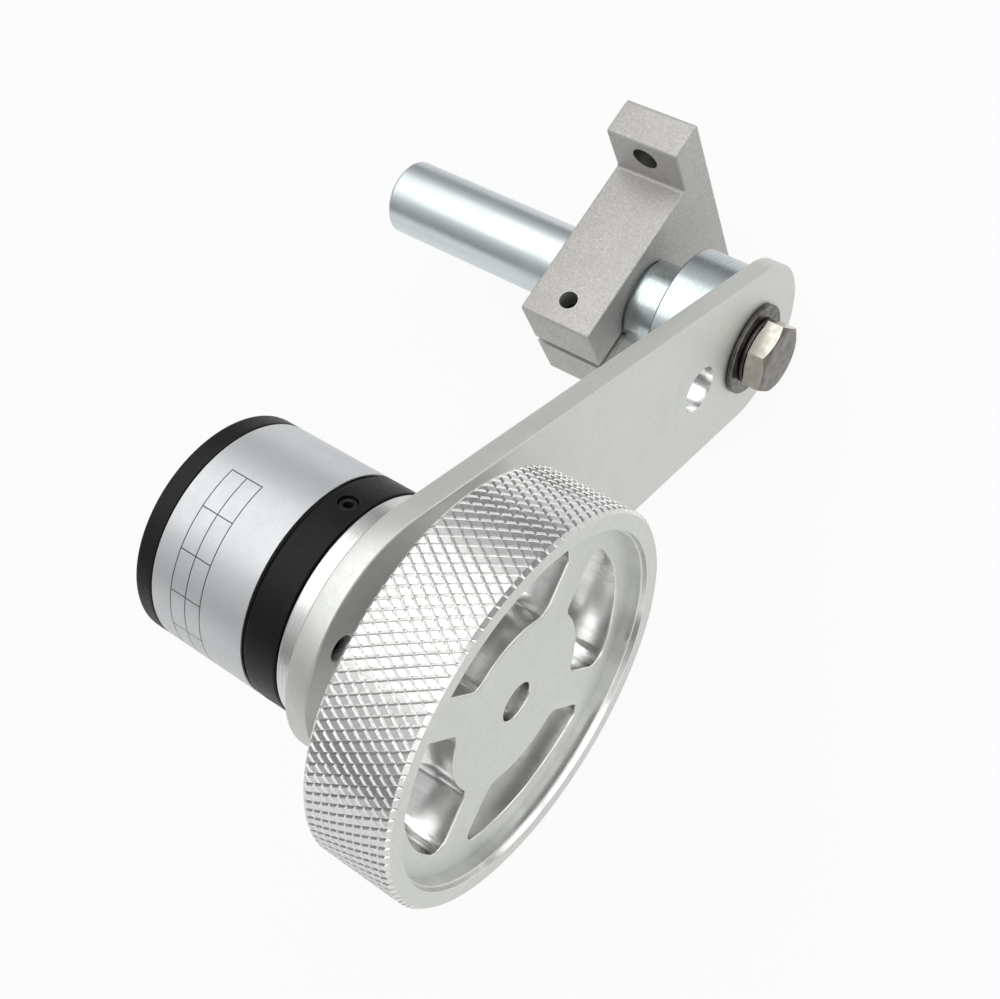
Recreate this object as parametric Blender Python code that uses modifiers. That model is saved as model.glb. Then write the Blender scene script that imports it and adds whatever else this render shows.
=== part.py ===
"""Encoder measuring wheel on a sprung arm, clamped to a machine by a shaft support block.

Frame: +Y runs along the wheel's axis from the wheel towards the encoder, +Z is up, and the
origin is the middle of the clamp block's base face, which bolts to the machine. +X points out
of that face. All lengths are in metres.
"""

import math

import bmesh
import bpy
from mathutils import Matrix, Vector

MM = 0.001

# Clearances shared by all the pieces.
SEAT_GAP = 0.3 * MM
RUNNING_GAP = 0.3 * MM
CUT_OVERRUN = 1.0 * MM
MERGE_DISTANCE = 0.01 * MM

# Measuring wheel.
WHEEL_CIRCUMFERENCE = 200.0 * MM
WHEEL_WIDTH = 15.0 * MM
WHEEL_FACE_RECESS = 3.0 * MM
WHEEL_RIM_WALL = 3.5 * MM
WHEEL_RIM_CHAMFER = 0.5 * MM
WHEEL_RECESS_CHAMFER = 0.4 * MM
WHEEL_CENTRE_RADIUS = 14.5 * MM
WHEEL_WINDOW_RIM_LEDGE = 3.6 * MM
WHEEL_SPOKE_WIDTH = 6.8 * MM
WHEEL_WINDOW_CORNER = 2.0 * MM
CORNER_TRIM_SHARE = 1.5
WHEEL_SPOKE_COUNT = 4
WHEEL_WINDOW_ANGLE = math.radians(69.5)
WHEEL_HUB_RADIUS = 8.0 * MM
WHEEL_HUB_LENGTH = 6.0 * MM
WHEEL_HUB_CHAMFER = 0.5 * MM
WHEEL_SET_SCREW_RADIUS = 1.5 * MM
WHEEL_SET_SCREW_LENGTH = 4.0 * MM
WHEEL_SET_SCREW_COUNT = 2

# Arm plate.
ARM_CENTRE_DISTANCE = 104.0 * MM
ARM_RISE_ANGLE = math.radians(33.3)
ARM_THICKNESS = 4.0 * MM
ARM_ENCODER_END_RADIUS = 21.5 * MM
ARM_PIVOT_END_RADIUS = 17.0 * MM
ARM_EDGE_CHAMFER = 0.3 * MM
ARM_SPARE_HOLE_RADIUS = 4.7 * MM
ARM_SPARE_HOLE_FROM_PIVOT = 19.3 * MM

# Gap between the wheel and the arm.
WHEEL_TO_ARM_GAP = 8.8 * MM

# Encoder.
ENCODER_RADIUS = 19.0 * MM
ADAPTER_THICKNESS = 3.7 * MM
ADAPTER_SPIGOT_RADIUS = 10.0 * MM
ADAPTER_SPIGOT_SETBACK = 1.0 * MM
ADAPTER_CHAMFER = 0.4 * MM
ENCODER_BAND_LENGTH = 6.1 * MM
ENCODER_LENGTH = 28.6 * MM
ENCODER_EDGE_CHAMFER = 0.5 * MM
COVER_WALL = 1.6 * MM
LABEL_THICKNESS = 0.3 * MM
LABEL_GAP = 0.2 * MM
LABEL_FRONT_INSET = 0.3 * MM
LABEL_REAR_BAND = 3.6 * MM
SIDE_SCREW_RADIUS = 1.5 * MM
SIDE_SCREW_SOCKET_RADIUS = 0.75 * MM
SIDE_SCREW_SOCKET_DEPTH = 1.5 * MM
SIDE_SCREW_LENGTH = 3.0 * MM
SIDE_SCREW_COUNT = 3
SIDE_SCREW_ANGLE = math.radians(57.0)
SHAFT_RADIUS = 3.0 * MM
SHAFT_FRONT_SINK = 3.0 * MM
SHAFT_FLAT_DEPTH = 0.5 * MM
SHAFT_TIP_CHAMFER = 0.4 * MM
SHAFT_REAR_STUB = 1.2 * MM
BEARING_OUTER_RADIUS = 7.5 * MM
BEARING_WIDTH = 4.0 * MM
BEARING_SHIELD_SINK = 0.3 * MM
BEARING_RACE_WALL = 1.2 * MM
BEARING_SPACING = 9.5 * MM
BEARING_SHOULDER = 1.0 * MM
DISC_RADIUS = 13.0 * MM
DISC_THICKNESS = 0.8 * MM
DISC_HUB_RADIUS = 5.0 * MM
DISC_HUB_LENGTH = 2.6 * MM
BOARD_THICKNESS = 1.6 * MM
BOARD_BORE_RADIUS = 6.0 * MM
READER_LENGTH = 6.0 * MM
READER_WIDTH = 8.0 * MM
READER_HEIGHT = 1.6 * MM
GLAND_RADIUS = 4.0 * MM
GLAND_COLLAR_RADIUS = 5.5 * MM
GLAND_COLLAR_LENGTH = 3.0 * MM
GLAND_LENGTH = 9.0 * MM
GLAND_CABLE_RADIUS = 2.4 * MM
GLAND_ANGLE = math.radians(-75.0)
GLAND_RIB_COUNT = 3
GLAND_RIB_DEPTH = 0.5 * MM
MOUNT_SCREW_CIRCLE_RADIUS = 15.8 * MM
MOUNT_SCREW_COUNT = 3
MOUNT_SCREW_ANGLE = math.radians(-28.0)
MOUNT_SCREW_RADIUS = 1.5 * MM
MOUNT_SCREW_HEAD_RADIUS = 2.75 * MM
MOUNT_SCREW_HEAD_HEIGHT = 1.5 * MM
MOUNT_SCREW_LENGTH = 6.0 * MM
MOUNT_SCREW_SOCKET_RADIUS = 1.15 * MM
MOUNT_SCREW_SOCKET_DEPTH = 0.75 * MM
MOUNT_SCREW_HEAD_SINK = 0.2 * MM

# Pivot: rod, spring housing and bolt.
ROD_RADIUS = 8.0 * MM
ROD_END_CHAMFER = 0.8 * MM
ROD_REAR_REACH = 45.6 * MM
JOURNAL_RADIUS = 5.5 * MM
HOUSING_RADIUS = 14.5 * MM
HOUSING_LENGTH = 11.0 * MM
HOUSING_CHAMFER = 0.4 * MM
HOUSING_WALL = 2.0 * MM
NECK_RADIUS = 8.9 * MM
NECK_LENGTH = 8.7 * MM
NECK_CHAMFER = 0.4 * MM
SPRING_WIRE_RADIUS = 0.65 * MM
SPRING_COIL_RADIUS = 9.2 * MM
SPRING_TURNS = 2.5
SPRING_POINTS_PER_TURN = 14
SPRING_PITCH = 1.75 * MM
BUSH_WALL = 1.2 * MM
WASHER_RADIUS = 9.3 * MM
WASHER_THICKNESS = 0.9 * MM
LOCK_WASHER_RADIUS = 6.7 * MM
LOCK_WASHER_THICKNESS = 0.7 * MM
LOCK_WASHER_SPLIT = 0.8 * MM
BOLT_RADIUS = 4.0 * MM
BOLT_HEAD_ACROSS_FLATS = 13.0 * MM
BOLT_HEAD_HEIGHT = 4.3 * MM
BOLT_HEAD_CHAMFER_RADIUS = 6.3 * MM
BOLT_HEAD_CHAMFER_DEPTH = 0.7 * MM
BOLT_SHANK_LENGTH = 16.0 * MM
STACK_GAP = 0.15 * MM

# Clamp block, a split shaft support.
BLOCK_WIDTH = 16.0 * MM
BLOCK_BASE_SPAN = 48.0 * MM
BLOCK_BASE_THICKNESS = 8.0 * MM
BLOCK_TOWER_SPAN = 25.0 * MM
BLOCK_HEIGHT = 44.0 * MM
BLOCK_SHAFT_HEIGHT = 27.0 * MM
BLOCK_BORE_CLEARANCE = 0.25 * MM
BLOCK_SLIT = 2.0 * MM
BLOCK_EDGE_CHAMFER = 0.4 * MM
BLOCK_HOLE_RADIUS = 2.75 * MM
BLOCK_HOLE_SPACING = 38.0 * MM
CLAMP_SCREW_RADIUS = 2.5 * MM
CLAMP_SCREW_FROM_TOP = 5.5 * MM
CLAMP_SCREW_HEAD_RADIUS = 4.25 * MM
CLAMP_SCREW_HEAD_HEIGHT = 5.0 * MM
CLAMP_SCREW_SOCKET_RADIUS = 2.0 * MM
CLAMP_SCREW_SOCKET_DEPTH = 2.5 * MM
CLAMP_SCREW_END_INSET = 5.0 * MM

# Facets round one full turn.
FINE_FACETS = 48
ROUND_FACETS = 32
SMALL_FACETS = 16
TINY_FACETS = 10
HEX_SIDES = 6
ARC_STEPS = 8
SMOOTH_ANGLE = math.radians(35.0)
SHARP_ANGLE = math.radians(40.0)

# Places along the wheel's axis, worked out from the block's middle forwards.
BLOCK_FRONT_Y = -BLOCK_WIDTH / 2
NECK_REAR_Y = BLOCK_FRONT_Y - SEAT_GAP
HOUSING_REAR_Y = NECK_REAR_Y - NECK_LENGTH
HOUSING_FRONT_Y = HOUSING_REAR_Y - HOUSING_LENGTH
ARM_REAR_Y = HOUSING_FRONT_Y - RUNNING_GAP
ARM_FRONT_Y = ARM_REAR_Y - ARM_THICKNESS
WHEEL_REAR_Y = ARM_FRONT_Y - WHEEL_TO_ARM_GAP
WHEEL_FRONT_Y = WHEEL_REAR_Y - WHEEL_WIDTH
ADAPTER_FRONT_Y = ARM_REAR_Y + SEAT_GAP
ADAPTER_REAR_Y = ADAPTER_FRONT_Y + ADAPTER_THICKNESS
ENCODER_FRONT_Y = ADAPTER_REAR_Y + SEAT_GAP
ENCODER_BAND_REAR_Y = ENCODER_FRONT_Y + ENCODER_BAND_LENGTH
ENCODER_REAR_Y = ENCODER_FRONT_Y + ENCODER_LENGTH
COVER_FRONT_Y = ENCODER_BAND_REAR_Y + SEAT_GAP
LABEL_FRONT_Y = COVER_FRONT_Y + LABEL_FRONT_INSET
LABEL_REAR_Y = ENCODER_REAR_Y - LABEL_REAR_BAND

# Places across the arm's plane.
WHEEL_RADIUS = WHEEL_CIRCUMFERENCE / (2 * math.pi)
PIVOT = Vector((-BLOCK_SHAFT_HEIGHT, 0.0, 0.0))
ARM_DIRECTION = Vector((-math.cos(ARM_RISE_ANGLE), 0.0, math.sin(ARM_RISE_ANGLE)))
WHEEL_CENTRE = PIVOT + ARM_DIRECTION * ARM_CENTRE_DISTANCE
JOURNAL_FRONT_Y = ARM_FRONT_Y - STACK_GAP
WASHER_REAR_Y = JOURNAL_FRONT_Y - STACK_GAP
LOCK_WASHER_REAR_Y = WASHER_REAR_Y - WASHER_THICKNESS - STACK_GAP
BOLT_HEAD_REAR_Y = LOCK_WASHER_REAR_Y - LOCK_WASHER_THICKNESS - STACK_GAP

# Turns a shape made along its own Z so that it lies along the wheel's axis.
ALONG_Y = Matrix.Rotation(-math.pi / 2, 4, "X")

MATERIALS = {
    "machined_aluminium": ((0.80, 0.81, 0.80), 0.28, 1.0),
    "anodised_aluminium": ((0.70, 0.71, 0.68), 0.42, 1.0),
    "cast_aluminium": ((0.48, 0.46, 0.44), 0.62, 1.0),
    "zinc_plate": ((0.55, 0.60, 0.62), 0.25, 1.0),
    "nickel_plate": ((0.52, 0.49, 0.42), 0.22, 1.0),
    "dark_steel": ((0.14, 0.13, 0.12), 0.40, 1.0),
    "spring_steel": ((0.22, 0.22, 0.23), 0.35, 1.0),
    "bearing_steel": ((0.60, 0.60, 0.60), 0.20, 1.0),
    "bronze": ((0.55, 0.36, 0.17), 0.40, 1.0),
    "black_anodise": ((0.02, 0.02, 0.022), 0.45, 0.0),
    "black_plastic": ((0.025, 0.025, 0.027), 0.55, 0.0),
    "label_film": ((0.66, 0.68, 0.69), 0.38, 0.0),
    "disc_film": ((0.30, 0.33, 0.36), 0.15, 0.0),
    "circuit_board": ((0.03, 0.16, 0.07), 0.50, 0.0),
}


def clear_scene():
    """Remove every object, so that the script starts from nothing."""
    for item in list(bpy.data.objects):
        bpy.data.objects.remove(item)


def make_collection(name):
    """Return a new collection linked to the scene."""
    collection = bpy.data.collections.new(name)
    bpy.context.scene.collection.children.link(collection)
    return collection


def make_materials():
    """Make one Principled material for each finish."""
    for name, (colour, roughness, metallic) in MATERIALS.items():
        material = bpy.data.materials.new(name)
        material.use_nodes = True
        shader = material.node_tree.nodes["Principled BSDF"]
        shader.inputs["Base Color"].default_value = (*colour, 1.0)
        shader.inputs["Roughness"].default_value = roughness
        shader.inputs["Metallic"].default_value = metallic


def add_object(name, mesh, collection, material=None):
    """Link a mesh to a collection as a new object."""
    piece = bpy.data.objects.new(name, mesh)
    collection.objects.link(piece)
    if material:
        mesh.materials.append(bpy.data.materials[material])
    return piece


def add_cutter(name, mesh):
    """Add a mesh as a cutter, drawn as wire and left out of the model."""
    cutter = add_object(name, mesh, CUTTERS)
    cutter.hide_render = True
    cutter.display_type = "WIRE"
    return cutter


def cut(piece, cutter, operation="DIFFERENCE"):
    """Cut or join a piece with another object by an exact Boolean."""
    step = piece.modifiers.new(cutter.name, "BOOLEAN")
    step.operation = operation
    step.solver = "EXACT"
    step.object = cutter


def turned_mesh(name, profile, closed):
    """Return a mesh of profile points (radius, height), ready for a Screw modifier."""
    area = sum(a[0] * b[1] - b[0] * a[1] for a, b in zip(profile, profile[1:] + profile[:1]))
    points = profile if area < 0 else profile[::-1]
    edges = [(index, index + 1) for index in range(len(points) - 1)]
    if closed:
        edges.append((len(points) - 1, 0))
    mesh = bpy.data.meshes.new(name)
    mesh.from_pydata([(radius, 0.0, height) for radius, height in points], edges, [])
    return mesh


def turn(piece, facets):
    """Sweep a profile round its own Z axis."""
    screw = piece.modifiers.new("turn", "SCREW")
    screw.axis = "Z"
    screw.steps = facets
    screw.render_steps = facets
    screw.use_merge_vertices = True
    screw.merge_threshold = MERGE_DISTANCE
    screw.use_smooth_shade = True


def add_turned(name, profile, material, centre, facets=ROUND_FACETS, direction=ALONG_Y):
    """Add a turned piece whose profile is given as (radius, place along the axis)."""
    closed = all(radius > 0 for radius, _ in profile)
    piece = add_object(name, turned_mesh(name, profile, closed), MODEL, material)
    turn(piece, facets)
    piece.matrix_world = Matrix.Translation(centre) @ direction
    return piece


def add_turned_cutter(name, profile, centre, facets=ROUND_FACETS, direction=ALONG_Y):
    """Add a turned cutter."""
    closed = all(radius > 0 for radius, _ in profile)
    cutter = add_cutter(name, turned_mesh(name, profile, closed))
    turn(cutter, facets)
    cutter.matrix_world = Matrix.Translation(centre) @ direction
    return cutter


def add_drill(name, radius, start, end, facets=SMALL_FACETS):
    """Add a round cutter between two points."""
    mesh = bpy.data.meshes.new(name)
    shape = bmesh.new()
    run = end - start
    bmesh.ops.create_cone(
        shape, cap_ends=True, segments=facets, radius1=radius, radius2=radius, depth=run.length
    )
    shape.to_mesh(mesh)
    shape.free()
    drill = add_cutter(name, mesh)
    drill.matrix_world = Matrix.Translation((start + end) / 2) @ aim(run)
    return drill


def aim(direction):
    """Return the turn that takes +Z to a direction."""
    return direction.to_track_quat("Z", "Y").to_matrix().to_4x4()


def box_mesh(name, size):
    """Return a box mesh centred on its origin."""
    mesh = bpy.data.meshes.new(name)
    shape = bmesh.new()
    bmesh.ops.create_cube(shape, size=1.0, matrix=Matrix.Diagonal((*size, 1.0)))
    shape.to_mesh(mesh)
    shape.free()
    return mesh


def add_bevel(piece, width):
    """Break a piece's sharp edges."""
    bevel = piece.modifiers.new("edge break", "BEVEL")
    bevel.width = width
    bevel.segments = 1
    bevel.limit_method = "ANGLE"
    bevel.angle_limit = SHARP_ANGLE


def arc_points(centre, radius, start, end, steps=ARC_STEPS):
    """Return points along an arc in the plane of an outline."""
    span = end - start
    angles = [start + span * index / steps for index in range(steps + 1)]
    return [(centre[0] + radius * math.cos(a), centre[1] + radius * math.sin(a)) for a in angles]


def outline_mesh(name, outlines, thickness, chamfer=0.0):
    """Fill flat outlines as a 2D curve, thicken them and return the welded mesh."""
    curve = bpy.data.curves.new(name, "CURVE")
    curve.dimensions = "2D"
    curve.fill_mode = "BOTH"
    curve.extrude = thickness / 2 - chamfer
    curve.bevel_depth = chamfer
    curve.bevel_resolution = 0
    curve.offset = -chamfer
    for points in outlines:
        spline = curve.splines.new("POLY")
        spline.points.add(len(points) - 1)
        for point, (across, along) in zip(spline.points, points):
            point.co = (across, along, 0.0, 1.0)
        spline.use_cyclic_u = True
    holder = bpy.data.objects.new(name, curve)
    CUTTERS.objects.link(holder)
    graph = bpy.context.evaluated_depsgraph_get()
    mesh = bpy.data.meshes.new_from_object(holder.evaluated_get(graph))
    bpy.data.objects.remove(holder)
    shape = bmesh.new()
    shape.from_mesh(mesh)
    bmesh.ops.remove_doubles(shape, verts=shape.verts, dist=MERGE_DISTANCE)
    bmesh.ops.recalc_face_normals(shape, faces=shape.faces)
    if shape.calc_volume(signed=True) < 0:
        bmesh.ops.reverse_faces(shape, faces=shape.faces)
    shape.to_mesh(mesh)
    shape.free()
    return mesh


def fillet_corner(before, corner, after, radius):
    """Return the points of a round corner between two straight stretches."""
    first = (Vector(before) - Vector(corner)).normalized()
    second = (Vector(after) - Vector(corner)).normalized()
    half = first.angle(second) / 2
    reach = radius / math.tan(half)
    centre = Vector(corner) + (first + second).normalized() * (radius / math.sin(half))
    start = Vector(corner) + first * reach - centre
    end = Vector(corner) + second * reach - centre
    first_angle = math.atan2(start.y, start.x)
    turn_angle = math.atan2(start.x * end.y - start.y * end.x, start.dot(end))
    return arc_points(centre, radius, first_angle, first_angle + turn_angle, ARC_STEPS // 2)


def in_arm_plane(direction_angle):
    """Return the placement that lays a flat outline in the arm's plane.

    The outline's +X runs at direction_angle above world +X, and its thickness along -Y.
    """
    upright = Matrix.Rotation(math.pi / 2, 4, "X")
    return Matrix.Rotation(-direction_angle, 4, "Y") @ upright


def window_outline():
    """Return the outline of one wheel window, its middle on the outline's +X axis."""
    outer = WHEEL_RADIUS - WHEEL_RIM_WALL - WHEEL_WINDOW_RIM_LEDGE
    inner = WHEEL_CENTRE_RADIUS
    half_gap = math.pi / WHEEL_SPOKE_COUNT
    half_spoke = WHEEL_SPOKE_WIDTH / 2

    def edge_angle(radius):
        return half_gap - math.asin(half_spoke / radius)

    def polar(radius, angle):
        return (radius * math.cos(angle), radius * math.sin(angle))

    outer_trim = WHEEL_WINDOW_CORNER * CORNER_TRIM_SHARE / outer
    inner_trim = WHEEL_WINDOW_CORNER * CORNER_TRIM_SHARE / inner
    outer_edge = edge_angle(outer)
    inner_edge = edge_angle(inner)
    points = arc_points((0, 0), outer, -outer_edge + outer_trim, outer_edge - outer_trim)
    points += fillet_corner(
        polar(outer, outer_edge - outer_trim), polar(outer, outer_edge),
        polar(inner, inner_edge), WHEEL_WINDOW_CORNER,
    )
    points += fillet_corner(
        polar(outer, outer_edge), polar(inner, inner_edge),
        polar(inner, inner_edge - inner_trim), WHEEL_WINDOW_CORNER,
    )
    points += arc_points((0, 0), inner, inner_edge - inner_trim, -inner_edge + inner_trim)
    points += fillet_corner(
        polar(inner, -inner_edge + inner_trim), polar(inner, -inner_edge),
        polar(outer, -outer_edge), WHEEL_WINDOW_CORNER,
    )
    points += fillet_corner(
        polar(inner, -inner_edge), polar(outer, -outer_edge),
        polar(outer, -outer_edge + outer_trim), WHEEL_WINDOW_CORNER,
    )
    return points


def build_wheel():
    """Rim, recessed web with four windows, and the hub behind it."""
    recess_radius = WHEEL_RADIUS - WHEEL_RIM_WALL
    web_front = WHEEL_FRONT_Y + WHEEL_FACE_RECESS
    web_rear = WHEEL_REAR_Y - WHEEL_FACE_RECESS
    hub_rear = WHEEL_REAR_Y + WHEEL_HUB_LENGTH
    bore = SHAFT_RADIUS + RUNNING_GAP
    profile = [
        (bore, web_front),
        (recess_radius, web_front),
        (recess_radius, WHEEL_FRONT_Y + WHEEL_RECESS_CHAMFER),
        (recess_radius + WHEEL_RECESS_CHAMFER, WHEEL_FRONT_Y),
        (WHEEL_RADIUS - WHEEL_RIM_CHAMFER, WHEEL_FRONT_Y),
        (WHEEL_RADIUS, WHEEL_FRONT_Y + WHEEL_RIM_CHAMFER),
        (WHEEL_RADIUS, WHEEL_REAR_Y - WHEEL_RIM_CHAMFER),
        (WHEEL_RADIUS - WHEEL_RIM_CHAMFER, WHEEL_REAR_Y),
        (recess_radius, WHEEL_REAR_Y),
        (recess_radius, web_rear),
        (WHEEL_HUB_RADIUS, web_rear),
        (WHEEL_HUB_RADIUS, hub_rear - WHEEL_HUB_CHAMFER),
        (WHEEL_HUB_RADIUS - WHEEL_HUB_CHAMFER, hub_rear),
        (bore, hub_rear),
    ]
    centre = Vector((WHEEL_CENTRE.x, 0.0, WHEEL_CENTRE.z))
    wheel = add_turned("measuring_wheel", profile, "machined_aluminium", centre, FINE_FACETS)
    depth = web_rear - web_front + 2 * CUT_OVERRUN
    mesh = outline_mesh("window cutter", [window_outline()], depth)
    for index in range(WHEEL_SPOKE_COUNT):
        angle = WHEEL_WINDOW_ANGLE + 2 * math.pi * index / WHEEL_SPOKE_COUNT
        cutter = add_cutter(f"window_cutter_{index + 1}", mesh)
        middle = centre + Vector((0.0, (web_front + web_rear) / 2, 0.0))
        cutter.matrix_world = Matrix.Translation(middle) @ in_arm_plane(angle)
        cut(wheel, cutter)
    for index in range(WHEEL_SET_SCREW_COUNT):
        build_wheel_set_screw(wheel, index)


def build_wheel_set_screw(wheel, index):
    """One set screw in the wheel's hub, and its hole."""
    angle = math.pi / 2 * index + math.pi / 2
    outward = Vector((math.cos(angle), 0.0, math.sin(angle)))
    middle_y = WHEEL_REAR_Y + WHEEL_HUB_LENGTH / 2
    centre = Vector((WHEEL_CENTRE.x, middle_y, WHEEL_CENTRE.z))
    reach = WHEEL_HUB_RADIUS + CUT_OVERRUN
    hole = WHEEL_SET_SCREW_RADIUS + SEAT_GAP
    drill = add_drill(f"hub_drill_{index + 1}", hole, centre, centre + outward * reach, TINY_FACETS)
    cut(wheel, drill)
    start = SHAFT_RADIUS + SEAT_GAP
    profile = [
        (0.0, start),
        (WHEEL_SET_SCREW_RADIUS, start),
        (WHEEL_SET_SCREW_RADIUS, start + WHEEL_SET_SCREW_LENGTH),
        (0.0, start + WHEEL_SET_SCREW_LENGTH),
    ]
    name = f"wheel_set_screw_{index + 1}"
    add_turned(name, profile, "dark_steel", centre, TINY_FACETS, aim(outward))


def arm_outline():
    """Return the arm's outline: two round ends joined by straight tangents.

    The outline starts at the pivot and runs along +X to the encoder's centre.
    """
    lean = math.asin((ARM_ENCODER_END_RADIUS - ARM_PIVOT_END_RADIUS) / ARM_CENTRE_DISTANCE)
    side = math.pi / 2 + lean
    far = (ARM_CENTRE_DISTANCE, 0.0)
    points = arc_points(far, ARM_ENCODER_END_RADIUS, -side, side, 2 * ARC_STEPS)
    points += arc_points((0.0, 0.0), ARM_PIVOT_END_RADIUS, side, 2 * math.pi - side, 2 * ARC_STEPS)
    return points


def circle_outline(centre, radius, facets=SMALL_FACETS):
    """Return a round hole's outline."""
    return arc_points(centre, radius, 0.0, 2 * math.pi, facets)[:-1]


def mount_screw_places():
    """Return the angle of each encoder mounting screw, measured from the arm's direction."""
    return [MOUNT_SCREW_ANGLE + 2 * math.pi * i / MOUNT_SCREW_COUNT for i in range(MOUNT_SCREW_COUNT)]


def build_arm():
    """Flat arm plate with the encoder bore, the pivot bore and the spare hole."""
    far = (ARM_CENTRE_DISTANCE, 0.0)
    outlines = [
        arm_outline(),
        circle_outline(far, ADAPTER_SPIGOT_RADIUS + SEAT_GAP, ROUND_FACETS),
        circle_outline((0.0, 0.0), JOURNAL_RADIUS + RUNNING_GAP + BUSH_WALL + SEAT_GAP, ROUND_FACETS),
        circle_outline((ARM_SPARE_HOLE_FROM_PIVOT, 0.0), ARM_SPARE_HOLE_RADIUS),
    ]
    for angle in mount_screw_places():
        centre = (
            far[0] + MOUNT_SCREW_CIRCLE_RADIUS * math.cos(angle),
            far[1] + MOUNT_SCREW_CIRCLE_RADIUS * math.sin(angle),
        )
        outlines.append(circle_outline(centre, MOUNT_SCREW_RADIUS + SEAT_GAP, TINY_FACETS))
    mesh = outline_mesh("arm_plate", outlines, ARM_THICKNESS, ARM_EDGE_CHAMFER)
    arm = add_object("arm_plate", mesh, MODEL, "anodised_aluminium")
    middle = Vector((PIVOT.x, (ARM_FRONT_Y + ARM_REAR_Y) / 2, PIVOT.z))
    arm.matrix_world = Matrix.Translation(middle) @ in_arm_plane(math.pi - ARM_RISE_ANGLE)
    sink = MOUNT_SCREW_HEAD_HEIGHT + MOUNT_SCREW_HEAD_SINK
    for index, place in enumerate(mount_screw_centres()):
        start = place + Vector((0.0, ARM_FRONT_Y - CUT_OVERRUN, 0.0))
        end = place + Vector((0.0, ARM_FRONT_Y + sink + SEAT_GAP, 0.0))
        drill = add_drill(f"head_drill_{index + 1}", MOUNT_SCREW_HEAD_RADIUS + SEAT_GAP, start, end)
        cut(arm, drill)


def mount_screw_centres():
    """Return where each mounting screw crosses the plane y = 0."""
    along = ARM_DIRECTION
    across = Vector((-along.z, 0.0, along.x))
    circle = MOUNT_SCREW_CIRCLE_RADIUS
    places = []
    for angle in mount_screw_places():
        spoke = along * math.cos(angle) + across * math.sin(angle)
        places.append(Vector((WHEEL_CENTRE.x, 0.0, WHEEL_CENTRE.z)) + spoke * circle)
    return places


def build_mount_screws():
    """Sunk socket screws that hold the encoder's adapter to the arm."""
    head_front = ARM_FRONT_Y + MOUNT_SCREW_HEAD_SINK
    head_rear = head_front + MOUNT_SCREW_HEAD_HEIGHT
    socket_floor = head_front + MOUNT_SCREW_SOCKET_DEPTH
    profile = [
        (0.0, socket_floor),
        (MOUNT_SCREW_SOCKET_RADIUS, socket_floor),
        (MOUNT_SCREW_SOCKET_RADIUS, head_front),
        (MOUNT_SCREW_HEAD_RADIUS, head_front),
        (MOUNT_SCREW_HEAD_RADIUS, head_rear),
        (MOUNT_SCREW_RADIUS, head_rear),
        (MOUNT_SCREW_RADIUS, head_front + MOUNT_SCREW_LENGTH),
        (0.0, head_front + MOUNT_SCREW_LENGTH),
    ]
    for index, place in enumerate(mount_screw_centres()):
        add_turned(f"mount_screw_{index + 1}", profile, "dark_steel", place, TINY_FACETS)


def build_adapter():
    """Aluminium ring between the arm and the encoder, with a spigot in the arm's bore."""
    spigot_front = ARM_FRONT_Y + ADAPTER_SPIGOT_SETBACK
    bore = SHAFT_RADIUS + 2 * RUNNING_GAP
    profile = [
        (bore, spigot_front),
        (ADAPTER_SPIGOT_RADIUS, spigot_front),
        (ADAPTER_SPIGOT_RADIUS, ADAPTER_FRONT_Y),
        (ENCODER_RADIUS - ADAPTER_CHAMFER, ADAPTER_FRONT_Y),
        (ENCODER_RADIUS, ADAPTER_FRONT_Y + ADAPTER_CHAMFER),
        (ENCODER_RADIUS, ADAPTER_REAR_Y - ADAPTER_CHAMFER),
        (ENCODER_RADIUS - ADAPTER_CHAMFER, ADAPTER_REAR_Y),
        (bore, ADAPTER_REAR_Y),
    ]
    centre = Vector((WHEEL_CENTRE.x, 0.0, WHEEL_CENTRE.z))
    adapter = add_turned("encoder_adapter", profile, "machined_aluminium", centre, FINE_FACETS)
    depth = ARM_FRONT_Y + MOUNT_SCREW_HEAD_SINK + MOUNT_SCREW_LENGTH + SEAT_GAP
    for index, place in enumerate(mount_screw_centres()):
        start = place + Vector((0.0, ADAPTER_FRONT_Y - CUT_OVERRUN, 0.0))
        end = place + Vector((0.0, depth, 0.0))
        hole = MOUNT_SCREW_RADIUS + SEAT_GAP
        cut(adapter, add_drill(f"adapter_drill_{index + 1}", hole, start, end, TINY_FACETS))


def bearing_fronts():
    """Return the front face of each shaft bearing."""
    front = ENCODER_FRONT_Y + BEARING_SHOULDER + SEAT_GAP
    return [front, front + BEARING_SPACING]


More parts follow.
